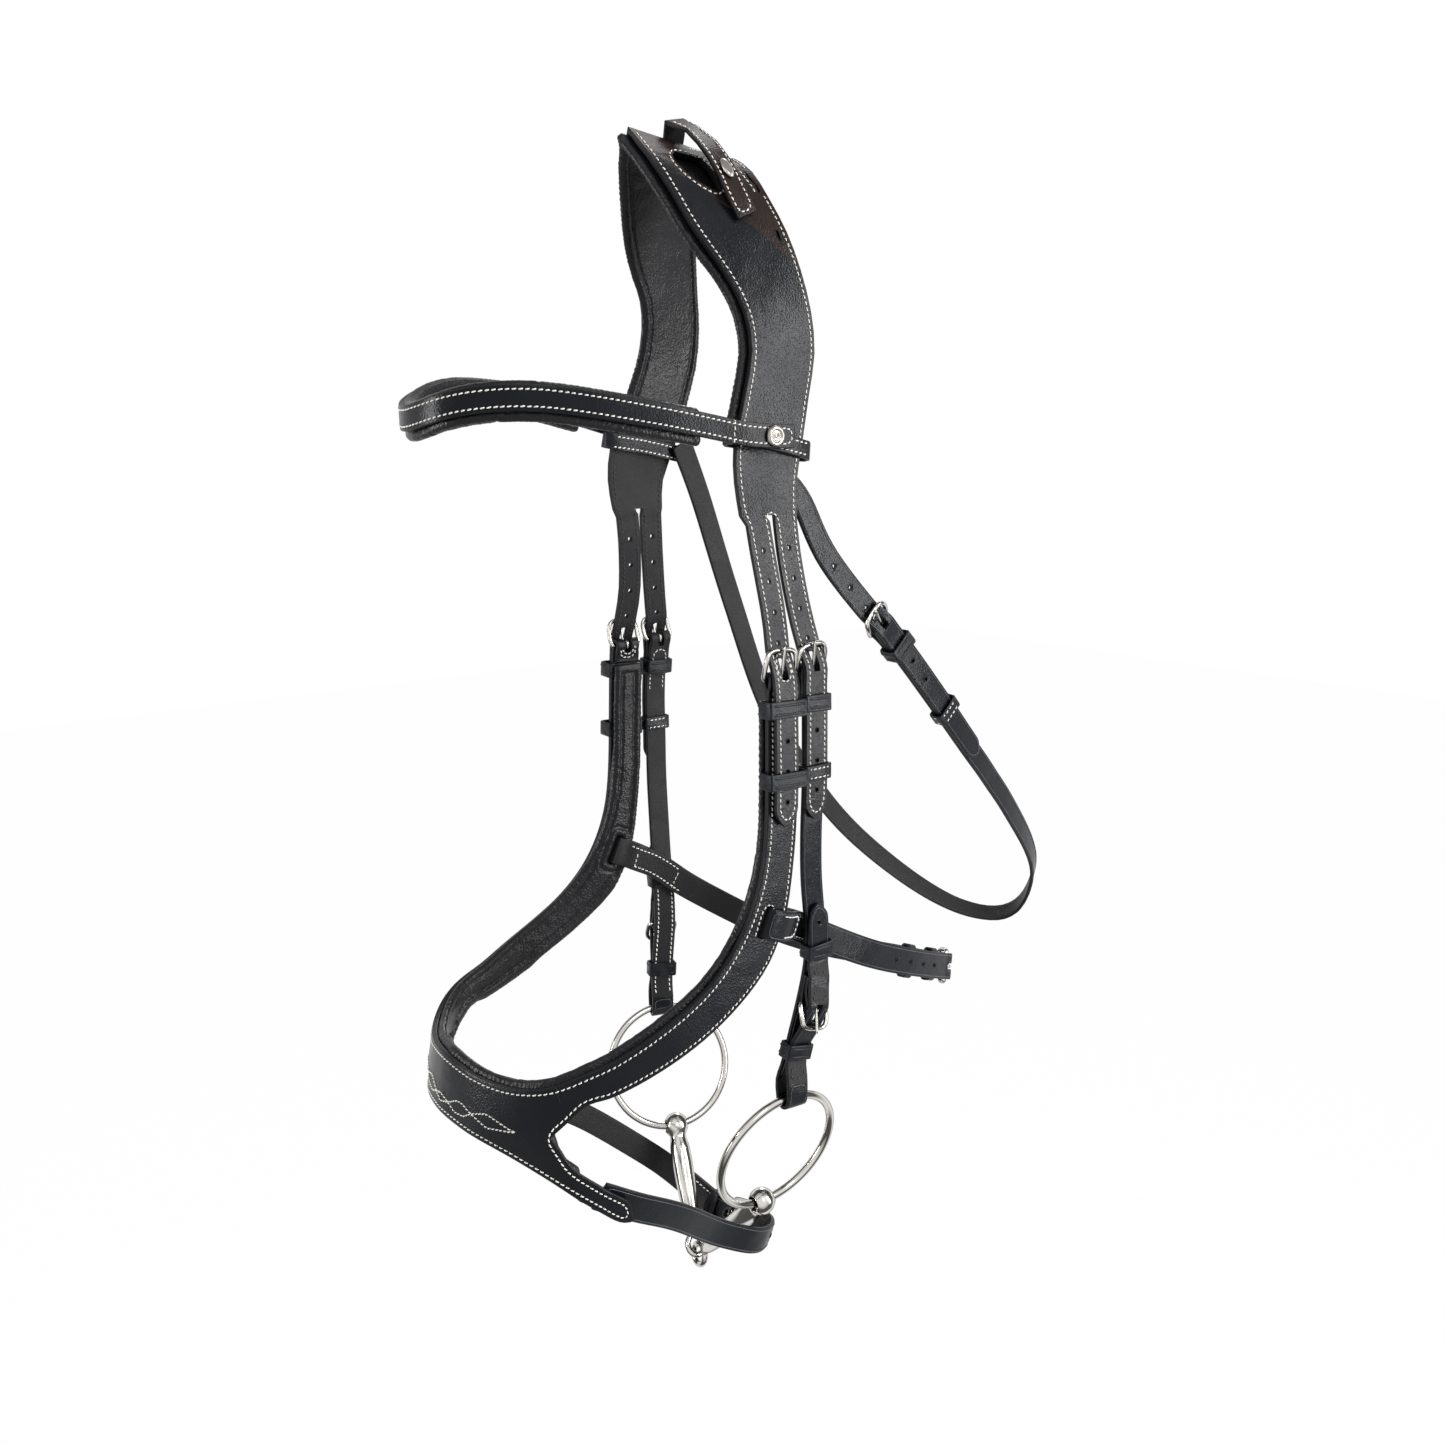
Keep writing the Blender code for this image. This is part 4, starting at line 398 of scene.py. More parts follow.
def hole_rims(node, ring):
    """The outlines of a strap's punched holes and short slots on its outer side."""
    mesh = cad_faces(node)
    found = []
    for rim in outlines(skins(mesh, ring)[0]):
        closed = sum((along for _, along, _ in rim), Vector()).length < JOINED
        if closed and length_of(rim) < HOLE_REACH:
            run = [(place, along.normalized().cross(inward)) for place, along, inward in rim]
            found.append(run + run[:1])
    mesh.free()
    return found


def fitted(name, data, materials, body):
    """A new piece from mesh data, with its materials, riding on its body."""
    for material in materials:
        data.materials.append(material)
    piece = bpy.data.objects.new(name, data)
    bpy.context.scene.collection.objects.link(piece)
    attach(piece, body)
    return piece


def mesh_data(name, mesh):
    """The data of an editable mesh, which is freed."""
    data = bpy.data.meshes.new(name)
    mesh.to_mesh(data)
    mesh.free()
    return data


def leather_piece(node, grain_side=smooth_hide, body="bridle", ring=False, edge=EDGE_ROUND,
                  bent=False):
    """A cut piece with its grain side, flesh side, dyed edges and the rims of its holes.

    One that hangs in a free bend is smoothed along it as well.
    """
    mesh = cad_faces(node)
    for face in mesh.faces:
        face.material_index = EDGE_SLOT
        face.smooth = True
    for number, side in enumerate(skins(mesh, ring)):
        for face in side:
            face.material_index = number
    name = node + "_leather"
    piece = fitted(name, mesh_data(name, mesh), (grain_side, flesh_side, dyed_edge), body)
    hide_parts(node)
    bevel = piece.modifiers.new("rounded_edges", "BEVEL")
    bevel.width = edge
    bevel.segments = 2
    bevel.limit_method = "ANGLE"
    bevel.angle_limit = ROUNDED_ANGLE
    bevel.use_clamp_overlap = False
    piece.modifiers.new("soft_shading", "WEIGHTED_NORMAL")
    if bent:
        eased = piece.modifiers.new("eased_bend", "SUBSURF")
        eased.levels = 1
        eased.render_levels = 1
    rims = hole_rims(node, ring)
    if rims:
        beaded(node + "_hole_rims", rims, HOLE_RIM, flesh_side, body=body)


# Sewing: waxed linen thread, laid a margin inside the outline. Each stitch is a little slanted
# and dives into its holes at both ends. It is white outside and black on most backs.
THREAD_WHITE = (0.86, 0.84, 0.79)
THREAD_CREAM = (0.70, 0.67, 0.61)
THREAD_BLACK = (0.010, 0.010, 0.012)
THREAD_GREY = (0.035, 0.033, 0.036)
THREAD_RADIUS = 0.00035
THREAD_SIDES = 6
STITCH_PITCH = 0.0029
STITCH_GAP = 0.0008
STITCH_GAP_MOST_SHARE = 0.45
STITCH_SLANT = 0.00016
STITCH_SHORTEST_SHARE = 0.4
STITCH_LONGEST_SHARE = 2
BEAD_STEP = 0.0012
SAMPLE = 0.0005
CLEAR_OF_RIM_SHARE = 0.96
JUMP_SHARE = 2.5
MEETING_SHARE = 2
STEADYING = 40
LEAST_SPOTS = 7
SHORTEST_STRAP_RIM = 0.03
BILLET_MARGIN = 0.0023
PAD_END = -0.131
CROWN_SEAM = ((0.0289, 0.0047, -0.0233), (0.0327, 0.0115, -0.0277), (0.0367, 0.0193, -0.0330))
CROWN_SEAM_RADIUS = 0.00022
REARWARD = Vector((0, 1, 0))
NEAR_AND_FAR = ((1, "near"), (-1, "far"))

# A stitch's rings: how far along it each lies, its height over the leather and its girth, the
# last two as shares of the thread's radius.
STITCH_RING_SHARES = ((0.0, -0.9, 0.55), (0.18, 0.25, 0.95), (0.5, 0.5, 1.0), (0.82, 0.25, 0.95),
                      (1.0, -0.9, 0.55))


def waxed_thread(name, dark, light):
    """A twisted linen thread: strands in colour and bump."""
    material, tree, shader = finish(name)
    where = tree.nodes.new("ShaderNodeTexCoord").outputs["Object"]
    strands = linked(tree, "ShaderNodeTexNoise", {"Vector": where, "Scale": 1400.0, "Detail": 2.0})
    tree.links.new(mixed_colour(tree, strands.outputs["Fac"], dark, light),
                   shader.inputs["Base Color"])
    bump = linked(tree, "ShaderNodeBump", {"Height": strands.outputs["Fac"], "Distance": 0.0001})
    tree.links.new(bump.outputs[0], shader.inputs["Normal"])
    shader.inputs["Roughness"].default_value = 0.6
    return material


thread = waxed_thread("white_thread", THREAD_CREAM, THREAD_WHITE)
back_thread = waxed_thread("black_thread", THREAD_BLACK, THREAD_GREY)


def skin_surface(mesh, side):
    """One side of a mesh, to look up the nearest place on it."""
    return BVHTree.FromPolygons([vert.co.copy() for vert in mesh.verts],
                                [[vert.index for vert in face.verts] for face in side])


def nearest_of(places):
    """A tree that finds the nearest of many places."""
    tree = KDTree(len(places))
    for number, place in enumerate(places):
        tree.insert(place, number)
    tree.balance()
    return tree


def sampled(rim):
    """Places at an even step along an outline, with their inward directions."""
    places = []
    for place, along, inward in rim:
        count = max(1, round(along.length / SAMPLE))
        places += [(place + along * (k + 0.5) / count, inward) for k in range(count)]
    return places


def parted(line, margin):
    """A line divided where it jumps, and closed where its ends meet."""
    parts = [[line[0]]]
    for spot in line[1:]:
        if (spot[0] - parts[-1][-1][0]).length > JUMP_SHARE * margin:
            parts.append([])
        parts[-1].append(spot)
    if (line[0][0] - line[-1][0]).length < MEETING_SHARE * margin:
        if len(parts) > 1:
            parts[-1] += parts.pop(0)
        else:
            parts[0].append(line[0])
    return parts


def steadied(run):
    """A line with its small jitter smoothed, its ends kept."""
    places = np.array([spot for spot, _ in run])
    for _ in range(STEADYING):
        places[1:-1] = (places[:-2] + 2 * places[1:-1] + places[2:]) / 4
    return [(Vector(place), normal) for place, (_, normal) in zip(places, run)]


def inside_lines(node, margin, inner=False, least=SHORTEST_STRAP_RIM, keep=lambda place: True,
                 ring=False):
    """Lines that run a margin inside the outlines of one side of a CAD node."""
    mesh = cad_faces(node)
    side = skins(mesh, ring)[inner]
    surface = skin_surface(mesh, side)
    rims = outlines(side)
    mesh.free()
    near_rim = nearest_of([place for rim in rims for place, _ in sampled(rim)])
    runs = []
    for rim in rims:
        if length_of(rim) < least:
            continue
        line = []
        for place, inward in sampled(rim):
            spot, normal, _, away = surface.find_nearest(place + inward * margin)
            if spot is None or away > margin:
                continue
            if near_rim.find(spot)[2] >= CLEAR_OF_RIM_SHARE * margin and keep(spot):
                line.append((spot, normal))
        if line:
            runs += parted(line, margin)
    return [steadied(run) for run in runs if len(run) >= LEAST_SPOTS]


def walked(run, pitch):
    """Points at an even pitch along a line, with their normals."""
    reach = [0.0]
    for (a, _), (b, _) in zip(run, run[1:]):
        reach.append(reach[-1] + (b - a).length)
    count = max(1, round(reach[-1] / pitch))
    spots = []
    k = 0
    for step in range(count + 1):
        goal = reach[-1] * step / count
        while k < len(run) - 2 and reach[k + 1] < goal:
            k += 1
        width = reach[k + 1] - reach[k]
        part = min(1, (goal - reach[k]) / width) if width > 0 else 0.0
        spots.append((run[k][0].lerp(run[k + 1][0], part),
                      run[k][1].lerp(run[k + 1][1], part).normalized()))
    return spots


def round_ring(middle, across, up, radius):
    """The points of a ring about a thread."""
    turns = [math.tau * k / THREAD_SIDES for k in range(THREAD_SIDES)]
    return [middle + radius * (across * math.cos(turn) + up * math.sin(turn)) for turn in turns]


def spun(name, strands, material, body):
    """A piece of round strands, each given by its rings and closed at both ends."""
    points = []
    faces = []
    for rings in strands:
        base = len(points)
        for ring in rings:
            points += ring
        last = len(points) - THREAD_SIDES
        for low in range(base, last, THREAD_SIDES):
            for k in range(THREAD_SIDES):
                a = low + k
                b = low + (k + 1) % THREAD_SIDES
                faces.append((a, b, b + THREAD_SIDES, a + THREAD_SIDES))
        faces.append(tuple(reversed(range(base, base + THREAD_SIDES))))
        faces.append(tuple(range(last, last + THREAD_SIDES)))
    data = bpy.data.meshes.new(name)
    data.from_pydata(points, [], faces)
    data.polygons.foreach_set("use_smooth", [True] * len(faces))
    fitted(name, data, [material], body)


def sewn(name, runs, body="bridle", pitch=STITCH_PITCH, gap=STITCH_GAP, material=thread):
    """Rows of stitches along lines, each a short thread that dives into its holes."""
    stitches = []
    for run in runs:
        spots = walked(run, pitch)
        for (start, up), (end, _) in zip(spots, spots[1:]):
            along = end - start
            if not pitch * STITCH_SHORTEST_SHARE <= along.length <= pitch * STITCH_LONGEST_SHARE:
                continue
            across = up.cross(along).normalized()
            share = min(STITCH_GAP_MOST_SHARE, gap / 2 / along.length)
            first = start + along * share - across * STITCH_SLANT
            last = end - along * share + across * STITCH_SLANT
            stitches.append([round_ring(first.lerp(last, part) + up * height * THREAD_RADIUS,
                                        across, up, THREAD_RADIUS * wide)
                             for part, height, wide in STITCH_RING_SHARES])
    spun(name, stitches, material, body)


def beaded(name, runs, radius, material, body="bridle", lift=0.0):
    """A thin round bead laid along lines: a crease, a seam or a moulded ridge."""
    beads = []
    for run in runs:
        spots = walked(run, BEAD_STEP)
        if len(spots) < 3:
            continue
        rings = []
        for k, (middle, up) in enumerate(spots):
            along = spots[min(k + 1, len(spots) - 1)][0] - spots[max(k - 1, 0)][0]
            across = up.cross(along).normalized()
            rings.append(round_ring(middle + up * lift, across, up, radius))
        beads.append(rings)
    spun(name, beads, material, body)


def mirrored(guide, side):
    """Guide points on the near side, or mirrored onto the far side."""
    return [Vector((side * across, fore, height)) for across, fore, height in guide]


def laid(node, guide, inner=False, from_front=False):
    """A line through guide points, laid onto one side of a CAD node."""
    mesh = cad_faces(node)
    surface = skin_surface(mesh, skins(mesh)[inner])
    mesh.free()
    run = []
    for first, second in zip(guide, guide[1:]):
        count = max(2, math.ceil((second - first).length / SAMPLE))
        for k in range(count):
            place = first.lerp(second, k / (count - 1))
            if from_front:
                spot, normal = surface.ray_cast(place, REARWARD)[:2]
            else:
                spot, normal = surface.find_nearest(place)[:2]
            if spot is not None:
                run.append((spot, normal))
    return run


leather_piece("headpiece", crown_hide, edge=HEADPIECE_EDGE_ROUND)
sewn("headpiece_stitches", inside_lines("headpiece", BILLET_MARGIN))
sewn("headpiece_back_stitches",
     inside_lines("headpiece", BILLET_MARGIN, inner=True, keep=lambda place: place.z < PAD_END),
     material=back_thread)
for side, name in NEAR_AND_FAR:
    beaded("crown_seam_" + name, [laid("headpiece", mirrored(CROWN_SEAM, side))],
           CROWN_SEAM_RADIUS, flesh_side)

# The paddings. Soft black lining leather over felt, under the crown, behind the browband and
# inside the noseband: the lining is rolled over the edge as a bead and stitched down inside it.
LINING_DARK = (0.0034, 0.0036, 0.0046)
LINING_SHEEN = (0.0075, 0.0077, 0.0092)
PAD_CELL = 0.0009
EDGE_SMOOTHING = 8
RIM_PARTS = 4
ROLL_WIDTH = 0.0052
ROLL_RISE = 0.0007
SEAM_DEPTH = 0.0011
SEAM_WIDTH = 0.0007
PUCKER = 0.0002
PUCKER_SIZE = 0.0035
PUCKER_REACH = 4 * SEAM_WIDTH
PUCKER_ELSEWHERE_SHARE = 0.3
lining_hide = hide("lining_hide", LINING_DARK, LINING_SHEEN, rough=0.32, grain_size=0.0011,
                   depth=0.00025, creases=0.9, worn=0.15, gloss=0.20, waves=5.0)


def evened(name, mesh):
    """The data of a mesh after it is divided into even cells and its edges are eased."""
    rough_piece = bpy.data.objects.new(name, mesh_data(name, mesh))
    bpy.context.scene.collection.objects.link(rough_piece)
    divided = rough_piece.modifiers.new("even_cells", "REMESH")
    divided.mode = "VOXEL"
    divided.voxel_size = PAD_CELL
    eased = rough_piece.modifiers.new("eased_edges", "SMOOTH")
    eased.iterations = EDGE_SMOOTHING
    bpy.context.view_layer.update()
    graph = bpy.context.evaluated_depsgraph_get()
    data = bpy.data.meshes.new_from_object(rough_piece.evaluated_get(graph))
    bpy.data.objects.remove(rough_piece)
    return data


def padding(node):
    """A pad with its rolled edge, the seam inside that, and the puckers along the seam."""
    mesh = cad_faces(node)
    sides = skins(mesh)
    near_rim = nearest_of([place + along * part / RIM_PARTS for side in sides
                           for rim in outlines(side) for place, along, _ in rim
                           for part in range(RIM_PARTS)])
    surface = BVHTree.FromBMesh(mesh)
    outer = {face.index for face in sides[0]}
    data = evened(node + "_lining", mesh)
    moved = []
    for place, away in [(vert.co.copy(), vert.normal.copy()) for vert in data.vertices]:
        depth = near_rim.find(place)[2]
        lift = ROLL_RISE * math.sin(math.pi * min(depth / ROLL_WIDTH, 1.0))
        if surface.find_nearest(place)[2] not in outer:
            at_seam = math.exp(-((depth - ROLL_WIDTH) / SEAM_WIDTH) ** 2)
            by_seam = math.exp(-((depth - ROLL_WIDTH) / PUCKER_REACH) ** 2)
            wave = PUCKER * noise.noise(place / PUCKER_SIZE)
            lift += wave * (by_seam + PUCKER_ELSEWHERE_SHARE) - SEAM_DEPTH * at_seam
        moved.extend(place + away * lift)
    data.vertices.foreach_set("co", moved)
    data.polygons.foreach_set("use_smooth", [True] * len(data.polygons))
    data.materials.clear()
    pad = fitted(node + "_lining", data, [lining_hide], "bridle")
    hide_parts(node)


padding("headpiece_padding")
padding("browband_padding")
padding("noseband_padding")

# The poll strap. A narrow raised strip of the same brown-black hide, stitched over the crown
# from one seam to the other, with an oval stud of satin steel on its near end.
POLL_MARGIN = 0.0016
# Steel colours: each bright one is the metal's tint and a painted glint, each dark one a painted
# dark reflection.
STEEL_TINT_AND_PAINTED_GLINT = (0.68, 0.66, 0.62)
STEEL_PAINTED_DARK_REFLECTION = (0.07, 0.067, 0.062)
SATIN_TINT_AND_PAINTED_GLINT = (0.40, 0.37, 0.34)
SATIN_PAINTED_DARK_REFLECTION = (0.22, 0.20, 0.185)
SMUDGE_DULLER = 0.14
SCRATCH_DEPTH = 0.000004
FITTING_LEVELS = 2
leather_piece("poll_strap", crown_hide)
sewn("poll_strap_stitches", inside_lines("poll_strap", POLL_MARGIN))


def steel(name, light, dark, rough):
    """Polished steel: its colour in bright and dark bands by the turn of the surface, which are
    painted reflections; scratches, smudges.
    """
    material, tree, shader = finish(name)
    where = tree.nodes.new("ShaderNodeTexCoord").outputs["Object"]
    turn = tree.nodes.new("ShaderNodeLayerWeight").outputs["Facing"]
    # Painted reflections: the base colour goes from bright to dark and back as the surface turns
    # away from the camera.
    painted_reflection_ramp = linked(tree, "ShaderNodeValToRGB", {"Fac": turn})
    painted_reflection_bands = painted_reflection_ramp.color_ramp.elements
    painted_reflection_bands[0].color = (*light, 1.0)
    painted_reflection_bands[1].color = (*dark, 1.0)
    for share, colour in ((0.07, light), (0.22, dark), (0.40, dark), (0.50, light), (0.60, light),
                          (0.78, dark)):
        painted_reflection_bands.new(share).color = (*colour, 1.0)
    tree.links.new(painted_reflection_ramp.outputs[0], shader.inputs["Base Color"])
    smudge = linked(tree, "ShaderNodeTexNoise", {"Vector": where, "Scale": 70.0, "Detail": 4.0})
    spread = linked(tree, "ShaderNodeMapRange", {"Value": smudge.outputs["Fac"], "From Min": 0.35,
                                                 "From Max": 0.7, "To Min": rough,
                                                 "To Max": rough + SMUDGE_DULLER})
    tree.links.new(spread.outputs[0], shader.inputs["Roughness"])
    drawn = linked(tree, "ShaderNodeMapping", {"Vector": where, "Scale": (1.0, 1.0, 0.06)})
    scratch = linked(tree, "ShaderNodeTexNoise", {"Vector": drawn.outputs[0], "Scale": 900.0,
                                                  "Detail": 2.0})
    bump = linked(tree, "ShaderNodeBump", {"Height": scratch.outputs["Fac"],
                                           "Distance": SCRATCH_DEPTH})
    tree.links.new(bump.outputs[0], shader.inputs["Normal"])
    shader.inputs["Metallic"].default_value = 1.0
    return material


polished_steel = steel("polished_steel", STEEL_TINT_AND_PAINTED_GLINT, STEEL_PAINTED_DARK_REFLECTION, rough=0.12)
satin_steel = steel("satin_steel", SATIN_TINT_AND_PAINTED_GLINT, SATIN_PAINTED_DARK_REFLECTION, rough=0.22)


def fitting(node, metal=polished_steel):
    """A CAD fitting kept as it is, its facets smoothed and its metal set."""
    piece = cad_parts[node]
    piece.data.materials.clear()
    piece.data.materials.append(metal)
    piece.data.polygons.foreach_set("use_smooth", [True] * len(piece.data.polygons))
    joined = piece.modifiers.new("joined", "WELD")
    joined.merge_threshold = JOINED
    rounded = piece.modifiers.new("rounded", "SUBSURF")
    rounded.levels = FITTING_LEVELS
    rounded.render_levels = FITTING_LEVELS


fitting("poll_stud", satin_steel)

# The browband. A shaped band of smooth hide with white thread along both edges and a cross
# row where the padding ends; each end is a tab that closes round the headpiece with a snap.
BAND_MARGIN = 0.0021
TAB_MARGIN = 0.0017
BROW_CROSS_ROW = ((0.0575, -0.0115, -0.1255), (0.0575, -0.0125, -0.1385))
leather_piece("browband", bent=True)
sewn("browband_stitches", inside_lines("browband", BAND_MARGIN))
for side, name in NEAR_AND_FAR:
    sewn("browband_cross_row_" + name, [laid("browband", mirrored(BROW_CROSS_ROW, side))])
    leather_piece("browband_loop_" + name, ring=True)
    sewn("browband_loop_stitches_" + name,
         inside_lines("browband_loop_" + name, TAB_MARGIN, ring=True))

# Its snaps. A pressed steel cap with plain raised rings, riveted through the tab; the outline
# goes from the middle out, as shares of the cap's radius and of its rise.
SNAP_RADIUS = 0.0052
SNAP_RISE = 0.0021
SNAP_SIDES = 48
SNAP_OUTLINE_SHARES = ((0.0, 0.62), (0.16, 0.62), (0.20, 0.50), (0.26, 0.50), (0.30, 0.72),
                       (0.40, 0.74), (0.46, 0.60), (0.54, 0.60), (0.60, 0.92), (0.74, 1.0),
                       (0.86, 0.90), (0.96, 0.5), (1.0, 0.1), (1.0, 0.0), (0.0, 0.0))


def snap(node, side):
    """A round cap with rings, turned about the line through the tab."""
    points = [vert.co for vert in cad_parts[node].data.vertices]
    low = Vector([min(point[k] for point in points) for k in range(3)])
    high = Vector([max(point[k] for point in points) for k in range(3)])
    middle = (low + high) / 2
    foot = low.x if side > 0 else high.x
    turns = [math.tau * k / SNAP_SIDES for k in range(SNAP_SIDES)]
    mesh = bmesh.new()
    rings = [[mesh.verts.new((foot + side * SNAP_RISE * rise,
                              middle.y + SNAP_RADIUS * share * math.cos(turn),
                              middle.z + SNAP_RADIUS * share * math.sin(turn))) for turn in turns]
             for share, rise in SNAP_OUTLINE_SHARES]
    for first, second in zip(rings, rings[1:]):
        for k in range(SNAP_SIDES):
            following = (k + 1) % SNAP_SIDES
            corners = (first[k], first[following], second[following], second[k])
            mesh.faces.new(corners).smooth = True
    bmesh.ops.remove_doubles(mesh, verts=mesh.verts, dist=JOINED)
    bmesh.ops.recalc_face_normals(mesh, faces=mesh.faces)
    name = node + "_cap"
    piece = fitted(name, mesh_data(name, mesh), [satin_steel], "bridle")
    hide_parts(node)


snap("browband_snap_near", 1)
snap("browband_snap_far", -1)

# The cheek straps. Plain straps with a creased line along each edge; a buckle is sewn into
# the folded top and bottom, and moulded keepers and a sewn runner hold the billet ends.
# The crease beads' colours are far lighter than the straps' own leather: a painted highlight along
# each edge.
CREASE_PAINTED_HIGHLIGHT_DIM = (0.030, 0.032, 0.038)
CREASE_PAINTED_HIGHLIGHT = (0.062, 0.066, 0.076)
CREASE_MARGIN = 0.0015
CREASE_RADIUS = 0.00026
KEEPER_EDGE_ROUND = 0.0006
KEEPER_RIDGE = 0.0008
KEEPER_RIDGE_SUNK = 0.3 * KEEPER_RIDGE
KEEPER_MARGIN = 0.0021
RUNNER_MARGIN = 0.0017
SHORTEST_LOOP_RIM = 0.01
FOLD_MARGIN = 0.0022
TOP_FOLD = (-0.2815, -0.2560)
BIT_FOLD = (-0.4740, -0.4010)
# The crease beads' leather, lighter than the straps: a painted highlight.
crease_painted_highlight = hide("crease_painted_highlight", CREASE_PAINTED_HIGHLIGHT_DIM, CREASE_PAINTED_HIGHLIGHT, rough=0.30, grain_size=0.0006,
                     depth=0.00003, creases=0.2, worn=0.2, gloss=0.3)


def creased_strap(node):
    """A plain strap with a creased line along each edge, laid as a bead of lighter leather that is
    a painted highlight.
    """
    leather_piece(node, bent=True)
    beaded(node + "_creases", inside_lines(node, CREASE_MARGIN), CREASE_RADIUS, crease_painted_highlight)


def keeper(node):
    """A moulded loop with a ridge along each edge."""
    leather_piece(node, ring=True, edge=KEEPER_EDGE_ROUND)
    lines = inside_lines(node, KEEPER_MARGIN, least=SHORTEST_LOOP_RIM, ring=True)
    beaded(node + "_ridges", lines, KEEPER_RIDGE, smooth_hide, lift=-KEEPER_RIDGE_SUNK)


def runner(node):
    """A flat sewn loop that slides, with a row of stitches along each edge."""
    leather_piece(node, body=node, ring=True)
    lines = inside_lines(node, RUNNER_MARGIN, least=SHORTEST_LOOP_RIM, ring=True)
    sewn(node + "_stitches", lines, body=node)


def buckle(name):
    """A buckle's frame and its prong."""
    fitting(name + "_buckle")
    fitting(name + "_prong")


def on_folds(place):
    """Whether a place lies where a folded end of a cheek strap is sewn down."""
    return any(low < place.z < high for low, high in (TOP_FOLD, BIT_FOLD))


for side in ("near", "far"):
    creased_strap("cheek_strap_" + side)
    for place in ("cheek_bit_keeper_lower_", "cheek_bit_keeper_upper_", "cheek_top_keeper_"):
        keeper(place + side)
    runner("cheek_runner_" + side)
    buckle("cheek_top_" + side)
    buckle("cheek_bit_" + side)
for side, material in (("far", thread), ("near", back_thread)):
    sewn("cheek_chape_stitches_" + side,
         inside_lines("cheek_strap_" + side, FOLD_MARGIN, inner=True, keep=on_folds),
         material=material)

# The throatlatch. A long plain strap with creased edges that passes under the throat from
# its buckle on the near side up to the far side, and the short billet that it buckles to.
creased_strap("throat_strap")
creased_strap("throat_billet")
keeper("throat_keeper")
runner("throat_runner")
buckle("throat")

# The noseband. A broad shaped band of smooth hide, stitched along every edge, with a fancy
# row of crossing waves sewn over its front; straps and buckles at both ends hang it.
NOSE_MARGIN = 0.0026
FANCY_PITCH = 0.0024
FANCY_GAP = 0.0005
FANCY_FORE = -0.16
FANCY_UPPER = ((0.0, -0.4557), (0.0073, -0.4579), (0.0144, -0.4542), (0.0191, -0.4542),
               (0.0262, -0.4568), (0.0358, -0.4538), (0.0429, -0.4562), (0.0509, -0.4593))
FANCY_LOWER = ((0.0, -0.4596), (0.0073, -0.4579), (0.0133, -0.4604), (0.0208, -0.4602),
               (0.0262, -0.4568), (0.0361, -0.4609), (0.0430, -0.4601), (0.0509, -0.4593))
NOSE_SEAM_UPPER = ((0.0793, -0.0582, -0.4124), (0.0798, -0.0528, -0.4229))
NOSE_SEAM_LOWER = ((0.0643, -0.1217, -0.4352), (0.0658, -0.1207, -0.4427))
NOSE_SEAM_RADIUS = 0.0003
leather_piece("noseband", bent=True)
sewn("noseband_stitches", inside_lines("noseband", NOSE_MARGIN))
for side, name in NEAR_AND_FAR:
    for wave, row in (("upper", FANCY_UPPER), ("lower", FANCY_LOWER)):
        guide = mirrored([(across, FANCY_FORE, height) for across, height in row], side)
        sewn("fancy_row_" + wave + "_" + name, [laid("noseband", guide, from_front=True)],
             pitch=FANCY_PITCH, gap=FANCY_GAP)
    beaded("noseband_seam_" + name, [laid("noseband", mirrored(seam, side))
                                     for seam in (NOSE_SEAM_UPPER, NOSE_SEAM_LOWER)],
           NOSE_SEAM_RADIUS, dyed_edge)
    keeper("noseband_keeper_upper_" + name)
    keeper("noseband_keeper_lower_" + name)
    buckle("noseband_" + name)

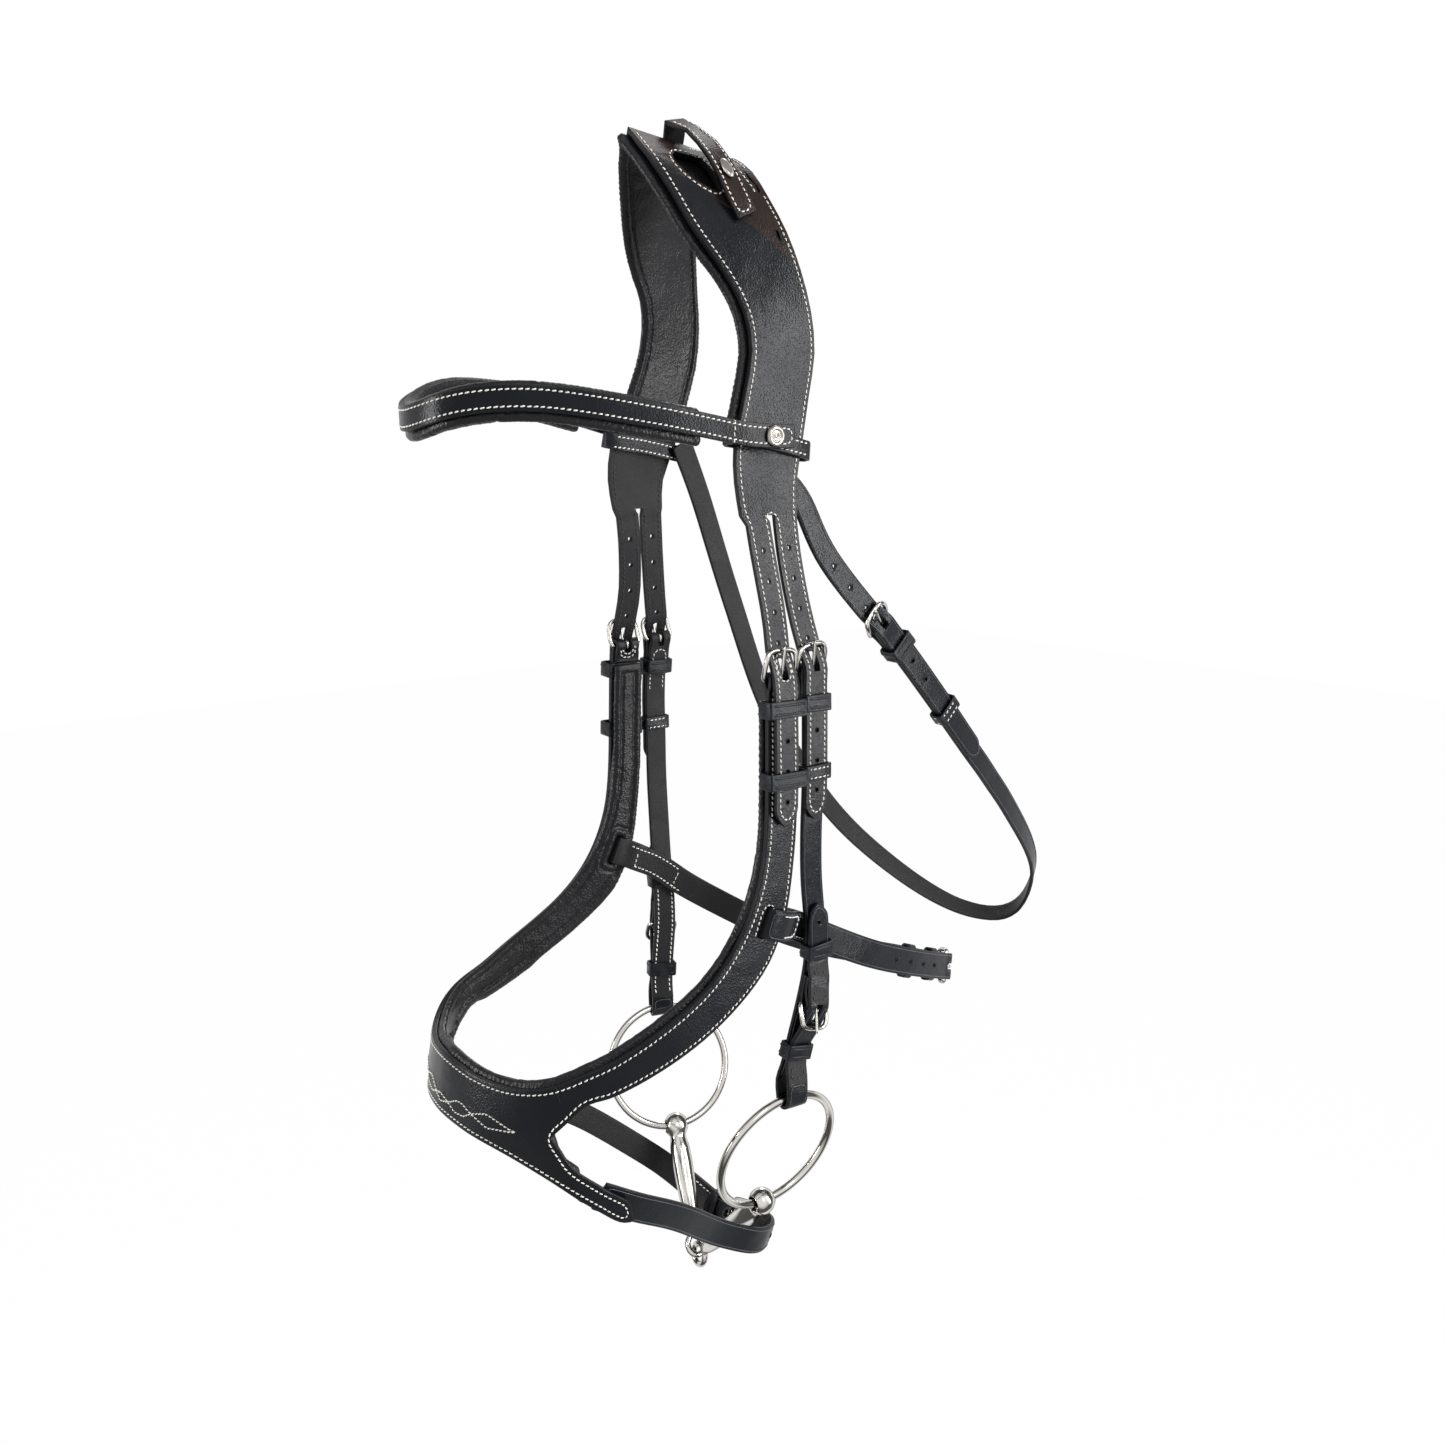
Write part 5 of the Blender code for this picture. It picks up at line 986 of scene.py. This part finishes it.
# The jaw strap. It leaves the noseband through a slot on each side and closes with a buckle
# behind the jaw; the flash strap below it does the same under the chin. Both are creased
# black hide, and stitched patches hold their ends.
PATCH_MARGIN = 0.0026
JAW_PATCH_FORE = 0.003
JAW_PATCH_BACK = 0.034
JAW_PATCH_ENDS = (((0.0644, 0.0065, -0.3795), (0.0647, 0.0035, -0.3880)),
                  ((0.0612, 0.0335, -0.3965), (0.0628, 0.0285, -0.4060)))
FLASH_PATCH_FORE = 0.0195
for node in ("jaw_strap_near", "jaw_strap_far", "flash_strap_near", "flash_strap_far"):
    creased_strap(node)
for name in ("near", "far"):
    sewn("jaw_patch_stitches_" + name,
         inside_lines("jaw_strap_" + name, PATCH_MARGIN, inner=name == "far",
                      keep=lambda place: JAW_PATCH_FORE < place.y < JAW_PATCH_BACK))
sewn("jaw_patch_end_rows", [laid("jaw_strap_far", mirrored(row, -1), inner=True)
                            for row in JAW_PATCH_ENDS])
sewn("flash_chape_stitches",
     inside_lines("flash_strap_far", PATCH_MARGIN, inner=True,
                  keep=lambda place: place.y > FLASH_PATCH_FORE))
keeper("jaw_keeper")
runner("jaw_runner")
keeper("flash_keeper")
buckle("jaw")
buckle("flash")

# The bit. Two loose rings of round polished wire, and a mouthpiece of two cannons that meet
# in the middle and turn freely on the rings.
WIRE_SIDES = 24
RING_STEPS = 144


def wire_ring(node, body):
    """A true ring of round wire in place of the faceted one, with the same place and size."""
    points = np.array([vert.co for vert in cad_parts[node].data.vertices])
    middle = (points.max(0) + points.min(0)) / 2
    normal = np.linalg.svd(points - points.mean(0), full_matrices=False)[2][2]
    off_plane = (points - middle) @ normal
    spread = np.linalg.norm(points - middle - np.outer(off_plane, normal), axis=1)
    wire = (spread.max() - spread.min()) / 2
    reach = (spread.max() + spread.min()) / 2
    turned = Vector(normal).to_track_quat("Z", "Y").to_matrix()
    turns = [math.tau * k / WIRE_SIDES for k in range(WIRE_SIDES)]
    mesh = bmesh.new()
    loops = []
    for step in range(RING_STEPS):
        angle = math.tau * step / RING_STEPS
        out = Vector((math.cos(angle), math.sin(angle), 0))
        loops.append([mesh.verts.new(Vector(middle) + turned @ (
            out * (reach + wire * math.cos(turn)) + Vector((0, 0, wire * math.sin(turn)))))
            for turn in turns])
    for first, second in zip(loops, loops[1:] + loops[:1]):
        for k in range(WIRE_SIDES):
            following = (k + 1) % WIRE_SIDES
            mesh.faces.new((first[k], second[k], second[following], first[following])).smooth = True
    bmesh.ops.recalc_face_normals(mesh, faces=mesh.faces)
    name = node + "_wire"
    piece = fitted(name, mesh_data(name, mesh), [polished_steel], body)
    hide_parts(node)


for side in ("near", "far"):
    wire_ring("bit_ring_" + side, side + "_ring")
    fitting("cannon_" + side)
